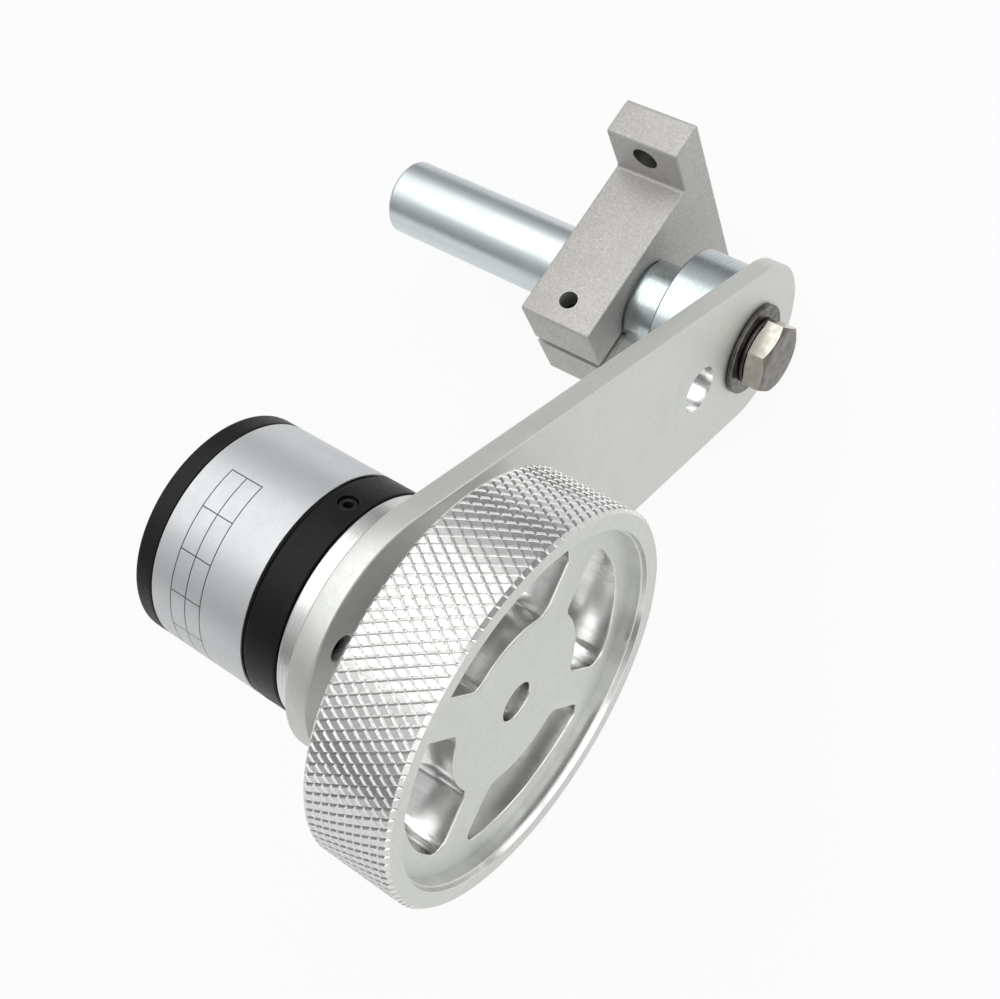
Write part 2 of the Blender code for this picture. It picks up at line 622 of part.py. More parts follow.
def build_encoder_body():
    """Black front body of the encoder, bored for its two bearings."""
    front_bearing, rear_bearing = bearing_fronts()
    neck_rear = rear_bearing + BEARING_WIDTH
    seat = BEARING_OUTER_RADIUS + SEAT_GAP
    neck_radius = seat + COVER_WALL
    shaft_bore = SHAFT_RADIUS + BEARING_RACE_WALL + RUNNING_GAP
    profile = [
        (shaft_bore, ENCODER_FRONT_Y),
        (ENCODER_RADIUS - ENCODER_EDGE_CHAMFER, ENCODER_FRONT_Y),
        (ENCODER_RADIUS, ENCODER_FRONT_Y + ENCODER_EDGE_CHAMFER),
        (ENCODER_RADIUS, ENCODER_BAND_REAR_Y),
        (neck_radius, ENCODER_BAND_REAR_Y),
        (neck_radius, neck_rear),
        (seat, neck_rear),
        (seat, front_bearing - SEAT_GAP),
        (shaft_bore, front_bearing - SEAT_GAP),
    ]
    centre = Vector((WHEEL_CENTRE.x, 0.0, WHEEL_CENTRE.z))
    body = add_turned("encoder_body", profile, "black_anodise", centre, FINE_FACETS)
    middle_y = (ENCODER_FRONT_Y + ENCODER_BAND_REAR_Y) / 2
    for index, outward in enumerate(side_screw_directions()):
        middle = Vector((WHEEL_CENTRE.x, middle_y, WHEEL_CENTRE.z))
        floor = ENCODER_RADIUS - SIDE_SCREW_LENGTH - SEAT_GAP
        start = middle + outward * floor
        end = middle + outward * (ENCODER_RADIUS + CUT_OVERRUN)
        hole = SIDE_SCREW_RADIUS + SEAT_GAP
        cut(body, add_drill(f"side_drill_{index + 1}", hole, start, end, TINY_FACETS))
        build_side_screw(index, middle, outward)


def side_screw_directions():
    """Return the outward direction of each side screw of the encoder's front body."""
    angles = [SIDE_SCREW_ANGLE + 2 * math.pi * i / SIDE_SCREW_COUNT for i in range(SIDE_SCREW_COUNT)]
    return [Vector((math.cos(a), 0.0, math.sin(a))) for a in angles]


def build_side_screw(index, middle, outward):
    """One small socket screw sunk in the encoder's front body."""
    start = ENCODER_RADIUS - SIDE_SCREW_LENGTH
    top = ENCODER_RADIUS - SEAT_GAP
    floor = top - SIDE_SCREW_SOCKET_DEPTH
    profile = [
        (0.0, start),
        (SIDE_SCREW_RADIUS, start),
        (SIDE_SCREW_RADIUS, top),
        (SIDE_SCREW_SOCKET_RADIUS, top),
        (SIDE_SCREW_SOCKET_RADIUS, floor),
        (0.0, floor),
    ]
    add_turned(f"side_screw_{index + 1}", profile, "dark_steel", middle, TINY_FACETS, aim(outward))


def build_bearings():
    """Two shaft bearings, each an outer ring with its shield drawn in."""
    centre = Vector((WHEEL_CENTRE.x, 0.0, WHEEL_CENTRE.z))
    inner = SHAFT_RADIUS + RUNNING_GAP
    inner_land = inner + BEARING_RACE_WALL
    outer_land = BEARING_OUTER_RADIUS - BEARING_RACE_WALL
    for index, front in enumerate(bearing_fronts()):
        rear = front + BEARING_WIDTH
        profile = [
            (inner, front),
            (inner_land, front),
            (inner_land, front + BEARING_SHIELD_SINK),
            (outer_land, front + BEARING_SHIELD_SINK),
            (outer_land, front),
            (BEARING_OUTER_RADIUS, front),
            (BEARING_OUTER_RADIUS, rear),
            (outer_land, rear),
            (outer_land, rear - BEARING_SHIELD_SINK),
            (inner_land, rear - BEARING_SHIELD_SINK),
            (inner_land, rear),
            (inner, rear),
        ]
        add_turned(f"shaft_bearing_{index + 1}", profile, "bearing_steel", centre)


def build_cover():
    """Cup-shaped encoder cover, turned down where the label lies, with the gland's hole."""
    label_floor = ENCODER_RADIUS - LABEL_THICKNESS - LABEL_GAP
    inside = label_floor - COVER_WALL
    inner_end = ENCODER_REAR_Y - COVER_WALL
    label_rear = LABEL_REAR_Y + SEAT_GAP
    label_front = LABEL_FRONT_Y - LABEL_FRONT_INSET
    profile = [
        (0.0, inner_end),
        (inside, inner_end),
        (inside, label_front),
        (label_floor, label_front),
        (label_floor, label_rear),
        (ENCODER_RADIUS, label_rear),
        (ENCODER_RADIUS, ENCODER_REAR_Y - ENCODER_EDGE_CHAMFER),
        (ENCODER_RADIUS - ENCODER_EDGE_CHAMFER, ENCODER_REAR_Y),
        (0.0, ENCODER_REAR_Y),
    ]
    centre = Vector((WHEEL_CENTRE.x, 0.0, WHEEL_CENTRE.z))
    cover = add_turned("encoder_cover", profile, "black_plastic", centre, FINE_FACETS)
    outward = gland_direction()
    middle = gland_middle()
    start = middle + outward * (inside - CUT_OVERRUN)
    end = middle + outward * (ENCODER_RADIUS + CUT_OVERRUN)
    cut(cover, add_drill("gland_drill", GLAND_RADIUS + SEAT_GAP, start, end))


def gland_direction():
    """Return the way the cable gland points."""
    return Vector((math.cos(GLAND_ANGLE), 0.0, math.sin(GLAND_ANGLE)))


def gland_middle():
    """Return the point on the encoder's axis that the gland points out from."""
    along = (LABEL_FRONT_Y + LABEL_REAR_Y) / 2
    return Vector((WHEEL_CENTRE.x, along, WHEEL_CENTRE.z))


def build_label():
    """Plain wrap-round rating label, with an opening for the gland."""
    outer = ENCODER_RADIUS
    inner = ENCODER_RADIUS - LABEL_THICKNESS
    profile = [
        (inner, LABEL_FRONT_Y),
        (outer, LABEL_FRONT_Y),
        (outer, LABEL_REAR_Y),
        (inner, LABEL_REAR_Y),
    ]
    centre = Vector((WHEEL_CENTRE.x, 0.0, WHEEL_CENTRE.z))
    label = add_turned("rating_label", profile, "label_film", centre, FINE_FACETS)
    outward = gland_direction()
    start = gland_middle() + outward * (inner - CUT_OVERRUN)
    end = gland_middle() + outward * (outer + CUT_OVERRUN)
    cut(label, add_drill("label_drill", GLAND_COLLAR_RADIUS + SEAT_GAP, start, end))


def build_gland():
    """Moulded strain relief on the encoder's hidden side, with ribs and a cable bore."""
    inside = ENCODER_RADIUS - LABEL_THICKNESS - LABEL_GAP - COVER_WALL
    collar_start = ENCODER_RADIUS - LABEL_THICKNESS
    collar_end = collar_start + GLAND_COLLAR_LENGTH
    tip = collar_start + GLAND_LENGTH
    bore = GLAND_CABLE_RADIUS
    profile = [
        (bore, inside),
        (GLAND_RADIUS, inside),
        (GLAND_RADIUS, collar_start),
        (GLAND_COLLAR_RADIUS, collar_start),
        (GLAND_COLLAR_RADIUS, collar_end),
    ]
    step = (tip - collar_end) / (2 * GLAND_RIB_COUNT)
    for index in range(GLAND_RIB_COUNT):
        groove = collar_end + 2 * index * step
        profile.append((GLAND_RADIUS - GLAND_RIB_DEPTH, groove))
        profile.append((GLAND_RADIUS - GLAND_RIB_DEPTH, groove + step))
        profile.append((GLAND_RADIUS, groove + step))
        profile.append((GLAND_RADIUS, groove + 2 * step))
    profile.append((bore, tip))
    add_turned("cable_gland", profile, "black_plastic", gland_middle(), SMALL_FACETS,
               aim(gland_direction()))


def shaft_rear():
    """Return the rear end of the encoder's shaft."""
    return bearing_fronts()[1] + BEARING_WIDTH + DISC_HUB_LENGTH + SHAFT_REAR_STUB


def build_shaft():
    """Encoder shaft with a flat for the wheel's set screw."""
    front = WHEEL_FRONT_Y + WHEEL_FACE_RECESS + SHAFT_FRONT_SINK
    rear = shaft_rear()
    profile = [
        (0.0, front),
        (SHAFT_RADIUS - SHAFT_TIP_CHAMFER, front),
        (SHAFT_RADIUS, front + SHAFT_TIP_CHAMFER),
        (SHAFT_RADIUS, rear - SHAFT_TIP_CHAMFER),
        (SHAFT_RADIUS - SHAFT_TIP_CHAMFER, rear),
        (0.0, rear),
    ]
    centre = Vector((WHEEL_CENTRE.x, 0.0, WHEEL_CENTRE.z))
    shaft = add_turned("encoder_shaft", profile, "bearing_steel", centre, SMALL_FACETS)
    length = WHEEL_REAR_Y + WHEEL_HUB_LENGTH - front
    size = (2 * SHAFT_RADIUS, length + CUT_OVERRUN, 2 * SHAFT_FLAT_DEPTH)
    cutter = add_cutter("flat_cutter", box_mesh("flat_cutter", size))
    cutter.location = (
        WHEEL_CENTRE.x,
        front + (length - CUT_OVERRUN) / 2,
        WHEEL_CENTRE.z + SHAFT_RADIUS,
    )
    cut(shaft, cutter)


def build_disc():
    """Code disc and its hub, just behind the rear bearing."""
    centre = Vector((WHEEL_CENTRE.x, 0.0, WHEEL_CENTRE.z))
    bore = SHAFT_RADIUS + SEAT_GAP
    hub_front = bearing_fronts()[1] + BEARING_WIDTH + RUNNING_GAP
    hub_rear = hub_front + DISC_HUB_LENGTH
    disc_front = hub_front + DISC_HUB_LENGTH / 2
    hub_step = (DISC_HUB_RADIUS + bore) / 2
    hub_profile = [
        (bore, hub_front),
        (DISC_HUB_RADIUS, hub_front),
        (DISC_HUB_RADIUS, disc_front - SEAT_GAP),
        (hub_step, disc_front - SEAT_GAP),
        (hub_step, hub_rear),
        (bore, hub_rear),
    ]
    disc_profile = [
        (hub_step + SEAT_GAP, disc_front),
        (DISC_RADIUS, disc_front),
        (DISC_RADIUS, disc_front + DISC_THICKNESS),
        (hub_step + SEAT_GAP, disc_front + DISC_THICKNESS),
    ]
    add_turned("disc_hub", hub_profile, "machined_aluminium", centre, SMALL_FACETS)
    add_turned("code_disc", disc_profile, "disc_film", centre)


def build_board():
    """Circuit board across the cover, and the optical reader that faces the disc's edge."""
    inside = ENCODER_RADIUS - LABEL_THICKNESS - LABEL_GAP - COVER_WALL - SEAT_GAP
    board_rear = ENCODER_REAR_Y - COVER_WALL - SEAT_GAP
    board_front = board_rear - BOARD_THICKNESS
    profile = [
        (BOARD_BORE_RADIUS, board_front),
        (inside, board_front),
        (inside, board_rear),
        (BOARD_BORE_RADIUS, board_rear),
    ]
    centre = Vector((WHEEL_CENTRE.x, 0.0, WHEEL_CENTRE.z))
    add_turned("circuit_board", profile, "circuit_board", centre)
    size = (READER_LENGTH, READER_HEIGHT, READER_WIDTH)
    reader = add_object("optical_reader", box_mesh("optical_reader", size), MODEL, "black_plastic")
    reader.location = (
        WHEEL_CENTRE.x + DISC_RADIUS - READER_LENGTH / 2,
        board_front - SEAT_GAP - READER_HEIGHT / 2,
        WHEEL_CENTRE.z,
    )


def build_rod():
    """Long rod with a reduced journal in front, tapped for the pivot bolt."""
    shoulder = HOUSING_FRONT_Y + HOUSING_WALL + SEAT_GAP
    bolt_hole = BOLT_RADIUS + SEAT_GAP
    hole_floor = BOLT_HEAD_REAR_Y + BOLT_SHANK_LENGTH + SEAT_GAP
    rod_rear = BLOCK_WIDTH / 2 + ROD_REAR_REACH
    profile = [
        (0.0, hole_floor),
        (bolt_hole, hole_floor),
        (bolt_hole, JOURNAL_FRONT_Y),
        (JOURNAL_RADIUS, JOURNAL_FRONT_Y),
        (JOURNAL_RADIUS, shoulder),
        (ROD_RADIUS, shoulder),
        (ROD_RADIUS, rod_rear - ROD_END_CHAMFER),
        (ROD_RADIUS - ROD_END_CHAMFER, rod_rear),
        (0.0, rod_rear),
    ]
    add_turned("pivot_rod", profile, "zinc_plate", PIVOT)


def build_housing():
    """Round spring housing with its neck, open inside round the coil."""
    bore = ROD_RADIUS + SEAT_GAP
    journal_bore = JOURNAL_RADIUS + RUNNING_GAP
    cavity_radius = HOUSING_RADIUS - HOUSING_WALL
    cavity_front = HOUSING_FRONT_Y + HOUSING_WALL
    cavity_rear = HOUSING_REAR_Y - HOUSING_WALL
    profile = [
        (bore, cavity_rear),
        (cavity_radius, cavity_rear),
        (cavity_radius, cavity_front),
        (journal_bore, cavity_front),
        (journal_bore, HOUSING_FRONT_Y),
        (HOUSING_RADIUS - HOUSING_CHAMFER, HOUSING_FRONT_Y),
        (HOUSING_RADIUS, HOUSING_FRONT_Y + HOUSING_CHAMFER),
        (HOUSING_RADIUS, HOUSING_REAR_Y - HOUSING_CHAMFER),
        (HOUSING_RADIUS - HOUSING_CHAMFER, HOUSING_REAR_Y),
        (NECK_RADIUS, HOUSING_REAR_Y),
        (NECK_RADIUS, NECK_REAR_Y - NECK_CHAMFER),
        (NECK_RADIUS - NECK_CHAMFER, NECK_REAR_Y),
        (bore, NECK_REAR_Y),
    ]
    add_turned("spring_housing", profile, "zinc_plate", PIVOT)


def build_spring():
    """Torsion spring round the rod, inside the housing."""
    curve = bpy.data.curves.new("torsion_spring", "CURVE")
    curve.dimensions = "3D"
    curve.bevel_depth = SPRING_WIRE_RADIUS
    curve.bevel_resolution = 1
    curve.use_fill_caps = True
    count = int(SPRING_TURNS * SPRING_POINTS_PER_TURN)
    spline = curve.splines.new("POLY")
    spline.points.add(count)
    middle = (HOUSING_FRONT_Y + HOUSING_REAR_Y) / 2
    for index, point in enumerate(spline.points):
        turns = index / SPRING_POINTS_PER_TURN
        angle = 2 * math.pi * turns
        along = middle + (turns - SPRING_TURNS / 2) * SPRING_PITCH
        x = SPRING_COIL_RADIUS * math.cos(angle)
        z = SPRING_COIL_RADIUS * math.sin(angle)
        point.co = (PIVOT.x + x, along, PIVOT.z + z, 1.0)
    spring = bpy.data.objects.new("torsion_spring", curve)
    MODEL.objects.link(spring)
    curve.materials.append(bpy.data.materials["spring_steel"])


def build_bush():
    """Flanged bush pressed into the arm, running on the journal."""
    inner = JOURNAL_RADIUS + RUNNING_GAP
    outer = inner + BUSH_WALL
    profile = [
        (inner, ARM_FRONT_Y + SEAT_GAP),
        (outer, ARM_FRONT_Y + SEAT_GAP),
        (outer, ARM_REAR_Y - SEAT_GAP),
        (inner, ARM_REAR_Y - SEAT_GAP),
    ]
    add_turned("pivot_bush", profile, "bronze", PIVOT)


def build_washers():
    """Flat washer and split lock washer under the bolt's head."""
    bore = BOLT_RADIUS + SEAT_GAP
    flat = [
        (bore, WASHER_REAR_Y),
        (WASHER_RADIUS, WASHER_REAR_Y),
        (WASHER_RADIUS, WASHER_REAR_Y - WASHER_THICKNESS),
        (bore, WASHER_REAR_Y - WASHER_THICKNESS),
    ]
    lock = [
        (bore, LOCK_WASHER_REAR_Y),
        (LOCK_WASHER_RADIUS, LOCK_WASHER_REAR_Y),
        (LOCK_WASHER_RADIUS, LOCK_WASHER_REAR_Y - LOCK_WASHER_THICKNESS),
        (bore, LOCK_WASHER_REAR_Y - LOCK_WASHER_THICKNESS),
    ]
    add_turned("flat_washer", flat, "nickel_plate", PIVOT)
    lock_washer = add_turned("lock_washer", lock, "dark_steel", PIVOT)
    size = (2 * LOCK_WASHER_RADIUS, 2 * LOCK_WASHER_THICKNESS, LOCK_WASHER_SPLIT)
    cutter = add_cutter("lock_split", box_mesh("lock_split", size))
    cutter.location = PIVOT + Vector((
        LOCK_WASHER_RADIUS,
        LOCK_WASHER_REAR_Y - LOCK_WASHER_THICKNESS / 2,
        0.0,
    ))
    cut(lock_washer, cutter)


def build_bolt():
    """Hexagon bolt: head with a chamfered face, and the shank that screws into the journal."""
    corner_radius = BOLT_HEAD_ACROSS_FLATS / math.sqrt(3)
    head_front = BOLT_HEAD_REAR_Y - BOLT_HEAD_HEIGHT
    shank_rear = BOLT_HEAD_REAR_Y + BOLT_SHANK_LENGTH
    root = BOLT_HEAD_REAR_Y - CUT_OVERRUN
    profile = [
        (0.0, root),
        (BOLT_RADIUS, root),
        (BOLT_RADIUS, shank_rear),
        (0.0, shank_rear),
    ]
    bolt = add_turned("pivot_bolt", profile, "nickel_plate", PIVOT, SMALL_FACETS)
    mesh = bpy.data.meshes.new("bolt head")
    shape = bmesh.new()
    bmesh.ops.create_cone(
        shape, cap_ends=True, segments=HEX_SIDES, radius1=corner_radius, radius2=corner_radius,
        depth=BOLT_HEAD_HEIGHT,
    )
    shape.to_mesh(mesh)
    shape.free()
    head = add_cutter("bolt_head", mesh)
    middle = Vector((PIVOT.x, BOLT_HEAD_REAR_Y - BOLT_HEAD_HEIGHT / 2, PIVOT.z))
    head.matrix_world = Matrix.Translation(middle) @ ALONG_Y
    slope = (corner_radius - BOLT_HEAD_CHAMFER_RADIUS) / BOLT_HEAD_CHAMFER_DEPTH
    far_radius = corner_radius + slope * CUT_OVERRUN
    near_radius = BOLT_HEAD_CHAMFER_RADIUS - slope * CUT_OVERRUN
    cone = [
        (near_radius, head_front - CUT_OVERRUN),
        (far_radius, head_front + BOLT_HEAD_CHAMFER_DEPTH + CUT_OVERRUN),
        (far_radius, head_front - CUT_OVERRUN),
    ]
    cut(head, add_turned_cutter("head_chamfer", cone, PIVOT, ROUND_FACETS))
    cut(bolt, head, "UNION")


def block_outline():
    """Return the shaft support's outline: base, shoulders and tower, seen along the rod.

    The outline's +X runs from the base face to the tower's top.
    """
    half_base = BLOCK_BASE_SPAN / 2
    half_tower = BLOCK_TOWER_SPAN / 2
    return [
        (0.0, -half_base),
        (0.0, half_base),
        (BLOCK_BASE_THICKNESS, half_base),
        (BLOCK_BASE_THICKNESS, half_tower),
        (BLOCK_HEIGHT, half_tower),
        (BLOCK_HEIGHT, -half_tower),
        (BLOCK_BASE_THICKNESS, -half_tower),
        (BLOCK_BASE_THICKNESS, -half_base),
    ]


def build_block():
    """Split clamp block with its bore, slit, mounting holes and clamp screw hole."""
    mesh = outline_mesh("clamp_block", [block_outline()], BLOCK_WIDTH)
    block = add_object("clamp_block", mesh, MODEL, "cast_aluminium")
    block.matrix_world = in_arm_plane(math.pi)
    add_bevel(block, BLOCK_EDGE_CHAMFER)
    reach = Vector((0.0, BLOCK_WIDTH / 2 + CUT_OVERRUN, 0.0))
    bore = ROD_RADIUS + BLOCK_BORE_CLEARANCE
    cut(block, add_drill("rod_drill", bore, PIVOT - reach, PIVOT + reach, ROUND_FACETS))
    slit_length = BLOCK_HEIGHT - BLOCK_SHAFT_HEIGHT
    size = (slit_length + CUT_OVERRUN, BLOCK_WIDTH + 2 * CUT_OVERRUN, BLOCK_SLIT)
    slit = add_cutter("slit_cutter", box_mesh("slit_cutter", size))
    slit.location = (PIVOT.x - (slit_length + CUT_OVERRUN) / 2, 0.0, 0.0)
    cut(block, slit)
    for side in (-1, 1):
        place = Vector((0.0, 0.0, side * BLOCK_HOLE_SPACING / 2))
        start = place + Vector((CUT_OVERRUN, 0.0, 0.0))
        end = place - Vector((BLOCK_BASE_THICKNESS + CUT_OVERRUN, 0.0, 0.0))
        name = "upper_hole_drill" if side > 0 else "lower_hole_drill"
        cut(block, add_drill(name, BLOCK_HOLE_RADIUS, start, end))
    middle = clamp_screw_middle()
    across = Vector((0.0, 0.0, BLOCK_TOWER_SPAN / 2 + CUT_OVERRUN))
    hole = CLAMP_SCREW_RADIUS + SEAT_GAP
    cut(block, add_drill("clamp_screw_drill", hole, middle - across, middle + across))


def clamp_screw_middle():
    """Return where the clamp screw crosses the slit."""
    return Vector((-BLOCK_HEIGHT + CLAMP_SCREW_FROM_TOP, 0.0, 0.0))


def build_clamp_screw():
    """Socket screw that draws the split block together, its head on the lower face."""
    seat = -BLOCK_TOWER_SPAN / 2 - SEAT_GAP
    head_end = seat - CLAMP_SCREW_HEAD_HEIGHT
    tip = BLOCK_TOWER_SPAN / 2 - CLAMP_SCREW_END_INSET
    socket_floor = head_end + CLAMP_SCREW_SOCKET_DEPTH
    profile = [
        (0.0, socket_floor),
        (CLAMP_SCREW_SOCKET_RADIUS, socket_floor),
        (CLAMP_SCREW_SOCKET_RADIUS, head_end),
        (CLAMP_SCREW_HEAD_RADIUS, head_end),
        (CLAMP_SCREW_HEAD_RADIUS, seat),
        (CLAMP_SCREW_RADIUS, seat),
        (CLAMP_SCREW_RADIUS, tip),
        (0.0, tip),
    ]
    add_turned("clamp_screw", profile, "dark_steel", clamp_screw_middle(), SMALL_FACETS,
               Matrix.Identity(4))


def settle_meshes():
    """Turn every piece's modifiers into plain meshes and shade the round faces smooth."""
    graph = bpy.context.evaluated_depsgraph_get()
    pieces = list(MODEL.objects)
    meshes = [bpy.data.meshes.new_from_object(piece.evaluated_get(graph)) for piece in pieces]
    for piece, mesh in zip(pieces, meshes):
        shape = bmesh.new()
        shape.from_mesh(mesh)
        bmesh.ops.remove_doubles(shape, verts=shape.verts, dist=MERGE_DISTANCE)
        shape.to_mesh(mesh)
        shape.free()
        mesh.shade_smooth()
        mesh.set_sharp_from_angle(angle=SMOOTH_ANGLE)
        if piece.type == "CURVE":
            name = piece.name
            bpy.data.objects.remove(piece)
            piece = bpy.data.objects.new(name, mesh)
            MODEL.objects.link(piece)
        else:
            piece.modifiers.clear()
            piece.data = mesh


def build_model():
    """Build every piece of the measuring wheel."""
    build_block()
    build_clamp_screw()
    build_rod()
    build_housing()
    build_spring()
    build_bush()
    build_washers()
    build_bolt()
    build_arm()
    build_mount_screws()
    build_adapter()
    build_encoder_body()
    build_bearings()
    build_cover()
    build_label()
    build_gland()
    build_shaft()
    build_disc()
    build_board()
    build_wheel()
    settle_meshes()


clear_scene()
MODEL = make_collection("encoder_measuring_wheel")
CUTTERS = make_collection("cutters")
make_materials()
build_model()
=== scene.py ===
"""Looks of the encoder measuring wheel: fine surfaces, finishes, studio light and the camera.

Everything is in metres in the CAD frame: +Y runs along the wheel's axis from the wheel to the
encoder, +Z is up, and the origin is the middle of the clamp block's base face.
"""

from __future__ import annotations

import logging
import math

from dataclasses import dataclass, field
from enum import Enum

import bpy
import numpy as np
from mathutils import Matrix, Vector

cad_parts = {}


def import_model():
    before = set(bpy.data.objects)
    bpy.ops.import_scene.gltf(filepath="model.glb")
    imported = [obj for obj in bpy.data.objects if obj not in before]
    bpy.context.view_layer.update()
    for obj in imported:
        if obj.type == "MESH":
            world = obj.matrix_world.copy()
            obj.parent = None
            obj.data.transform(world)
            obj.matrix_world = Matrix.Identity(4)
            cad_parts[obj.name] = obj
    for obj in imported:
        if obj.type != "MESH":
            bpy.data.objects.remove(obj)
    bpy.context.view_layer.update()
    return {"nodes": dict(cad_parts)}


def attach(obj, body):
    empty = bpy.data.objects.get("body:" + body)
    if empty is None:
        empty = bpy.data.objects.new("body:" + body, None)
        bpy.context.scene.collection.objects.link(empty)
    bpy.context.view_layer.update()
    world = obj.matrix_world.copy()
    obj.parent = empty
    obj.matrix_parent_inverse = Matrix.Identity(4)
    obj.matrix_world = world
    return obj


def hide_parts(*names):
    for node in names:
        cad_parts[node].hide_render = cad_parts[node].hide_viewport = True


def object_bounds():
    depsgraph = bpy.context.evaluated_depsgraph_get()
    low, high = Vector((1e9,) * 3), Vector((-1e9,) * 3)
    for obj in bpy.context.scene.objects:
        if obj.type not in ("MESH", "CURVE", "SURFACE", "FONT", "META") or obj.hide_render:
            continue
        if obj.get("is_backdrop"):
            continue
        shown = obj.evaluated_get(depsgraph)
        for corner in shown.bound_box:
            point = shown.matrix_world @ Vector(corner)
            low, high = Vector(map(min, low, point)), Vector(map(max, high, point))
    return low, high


LOG = logging.getLogger("measuring_wheel")
MM = 0.001
TURN = 2 * math.pi

RISE = math.radians(33.3)
PIVOT = np.array([-0.027, 0.0, 0.0])
ARM_LENGTH = 0.104
WHEEL_AXIS = PIVOT + ARM_LENGTH * np.array([-math.cos(RISE), 0.0, math.sin(RISE)])
Profile = list[tuple[float, float]]
Socket = bpy.types.NodeSocket


class Body(Enum):
    """CAD bodies that the pieces ride on."""

    BLOCK = "mount_block"
    ROD = "rod"
    ARM = "arm"
    WHEEL = "wheel"


class Pattern(Enum):
    """Ways in which a finish varies over its surface."""

    BLASTED = "blasted"
    TURNED = "turned"
    DRAWN = "drawn"
    CAST = "cast"
    MOTTLED = "mottled"
    MOULDED = "moulded"


# Shader node groups, each built once.


class Groups:
    """Shader node groups shared by the finishes."""

    def __init__(self) -> None:
        """Build every group."""
        self.blasted = self._blasted()
        self.turned = self._turned()
        self.drawn = self._drawn()
        self.cast = self._cast()
        self.mottled = self._mottled()
        self.smudges = self._smudges()
        self.worn_edges = self._worn_edges()

    @staticmethod
    def _start(name: str, inputs: dict[str, float | tuple]) -> tuple:
        """Open a new group with a Position input, named number inputs and one Mask output.

        Args:
            name: Name of the group.
            inputs: Name and default of each further input; a tuple makes a vector.

        Returns:
            The group, its input node and its output node.
        """
        group = bpy.data.node_groups.new(name, "ShaderNodeTree")
        group.interface.new_socket("Position", in_out="INPUT", socket_type="NodeSocketVector")
        for label, value in inputs.items():
            kind = "NodeSocketVector" if isinstance(value, tuple) else "NodeSocketFloat"
            socket = group.interface.new_socket(label, in_out="INPUT", socket_type=kind)
            socket.default_value = value
        group.interface.new_socket("Mask", in_out="OUTPUT", socket_type="NodeSocketFloat")
        return group, group.nodes.new("NodeGroupInput"), group.nodes.new("NodeGroupOutput")

    @staticmethod
    def _maths(
        group: bpy.types.NodeTree,
        operation: str,
        first: Socket | float,
        second: Socket | float | None = None,
        third: Socket | float | None = None,
    ) -> Socket:
        """Add a Math node and return its result.

        Args:
            group: Node tree to add to.
            operation: Name of the Math operation.
            first: First socket or number.
            second: Second socket or number, if any.
            third: Third socket or number, if any.

        Returns:
            The result socket.
        """
        node = group.nodes.new("ShaderNodeMath")
        node.operation = operation
        for slot, value in enumerate((first, second, third)):
            if value is None:
                continue
            if isinstance(value, (int, float)):
                node.inputs[slot].default_value = value
            else:
                group.links.new(value, node.inputs[slot])
        return node.outputs[0]

    @staticmethod
    def _noise(
        group: bpy.types.NodeTree, vector: Socket, scale: Socket | float, detail: float, rough: float = 0.55,
    ) -> Socket:
        """Add a 3D Noise node and return its value.

        Args:
            group: Node tree to add to.
            vector: Socket with the position.
            scale: Socket or number for the scale.
            detail: Octaves of the noise.
            rough: Roughness of the octaves.

        Returns:
            The noise value socket.
        """
        node = group.nodes.new("ShaderNodeTexNoise")
        node.inputs["Detail"].default_value = detail
        node.inputs["Roughness"].default_value = rough
        group.links.new(vector, node.inputs["Vector"])
        if isinstance(scale, (int, float)):
            node.inputs["Scale"].default_value = scale
        else:
            group.links.new(scale, node.inputs["Scale"])
        return node.outputs["Fac"]

    @staticmethod
    def _vector(
        group: bpy.types.NodeTree, operation: str, first: Socket, second: Socket | tuple | None,
    ) -> bpy.types.Node:
        """Add a Vector Math node and return the node.

        Args:
            group: Node tree to add to.
            operation: Name of the operation.
            first: First vector socket.
            second: Second vector socket or tuple.

        Returns:
            The node.
        """
        node = group.nodes.new("ShaderNodeVectorMath")
        node.operation = operation
        group.links.new(first, node.inputs[0])
        if isinstance(second, tuple):
            node.inputs[1].default_value = second
        elif second is not None:
            group.links.new(second, node.inputs[1])
        return node

    def _blasted(self) -> bpy.types.NodeTree:
        """Fine even grain: noise over the position, plus weaker noise four times as wide.

        Returns:
            The node group.
        """
        group, start, end = self._start("blasted grain", {"Scale": 2500.0})
        fine = self._noise(group, start.outputs["Position"], start.outputs["Scale"], 3.0)
        wide_scale = self._maths(group, "MULTIPLY", start.outputs["Scale"], 0.25)
        wide = self._noise(group, start.outputs["Position"], wide_scale, 2.0)
        mixed = self._maths(group, "MULTIPLY_ADD", wide, 0.35, self._maths(group, "MULTIPLY", fine, 0.65))
        group.links.new(mixed, end.inputs["Mask"])
        return group

    def _turned(self) -> bpy.types.NodeTree:
        """Turning marks: noise over the distance from an axis that runs along Y.

        Returns:
            The node group.
        """
        group, start, end = self._start("turning marks", {"Scale": 3000.0, "Centre": (0.0, 0.0, 0.0)})
        away = self._vector(group, "SUBTRACT", start.outputs["Position"], start.outputs["Centre"])
        flat = self._vector(group, "MULTIPLY", away.outputs[0], (1.0, 0.0, 1.0))
        radius = self._vector(group, "LENGTH", flat.outputs[0], None)
        reach = self._maths(group, "MULTIPLY", radius.outputs["Value"], start.outputs["Scale"])
        along = self._vector(group, "MULTIPLY", away.outputs[0], (0.0, 1.0, 0.0))
        depth = self._vector(group, "LENGTH", along.outputs[0], None)
        steps = self._maths(group, "MULTIPLY_ADD", depth.outputs["Value"], start.outputs["Scale"], reach)
        noise = group.nodes.new("ShaderNodeTexNoise")
        noise.noise_dimensions = "1D"
        noise.inputs["Scale"].default_value = 1.0
        noise.inputs["Detail"].default_value = 3.0
        noise.inputs["Roughness"].default_value = 0.65
        group.links.new(steps, noise.inputs["W"])
        group.links.new(noise.outputs["Fac"], end.inputs["Mask"])
        return group

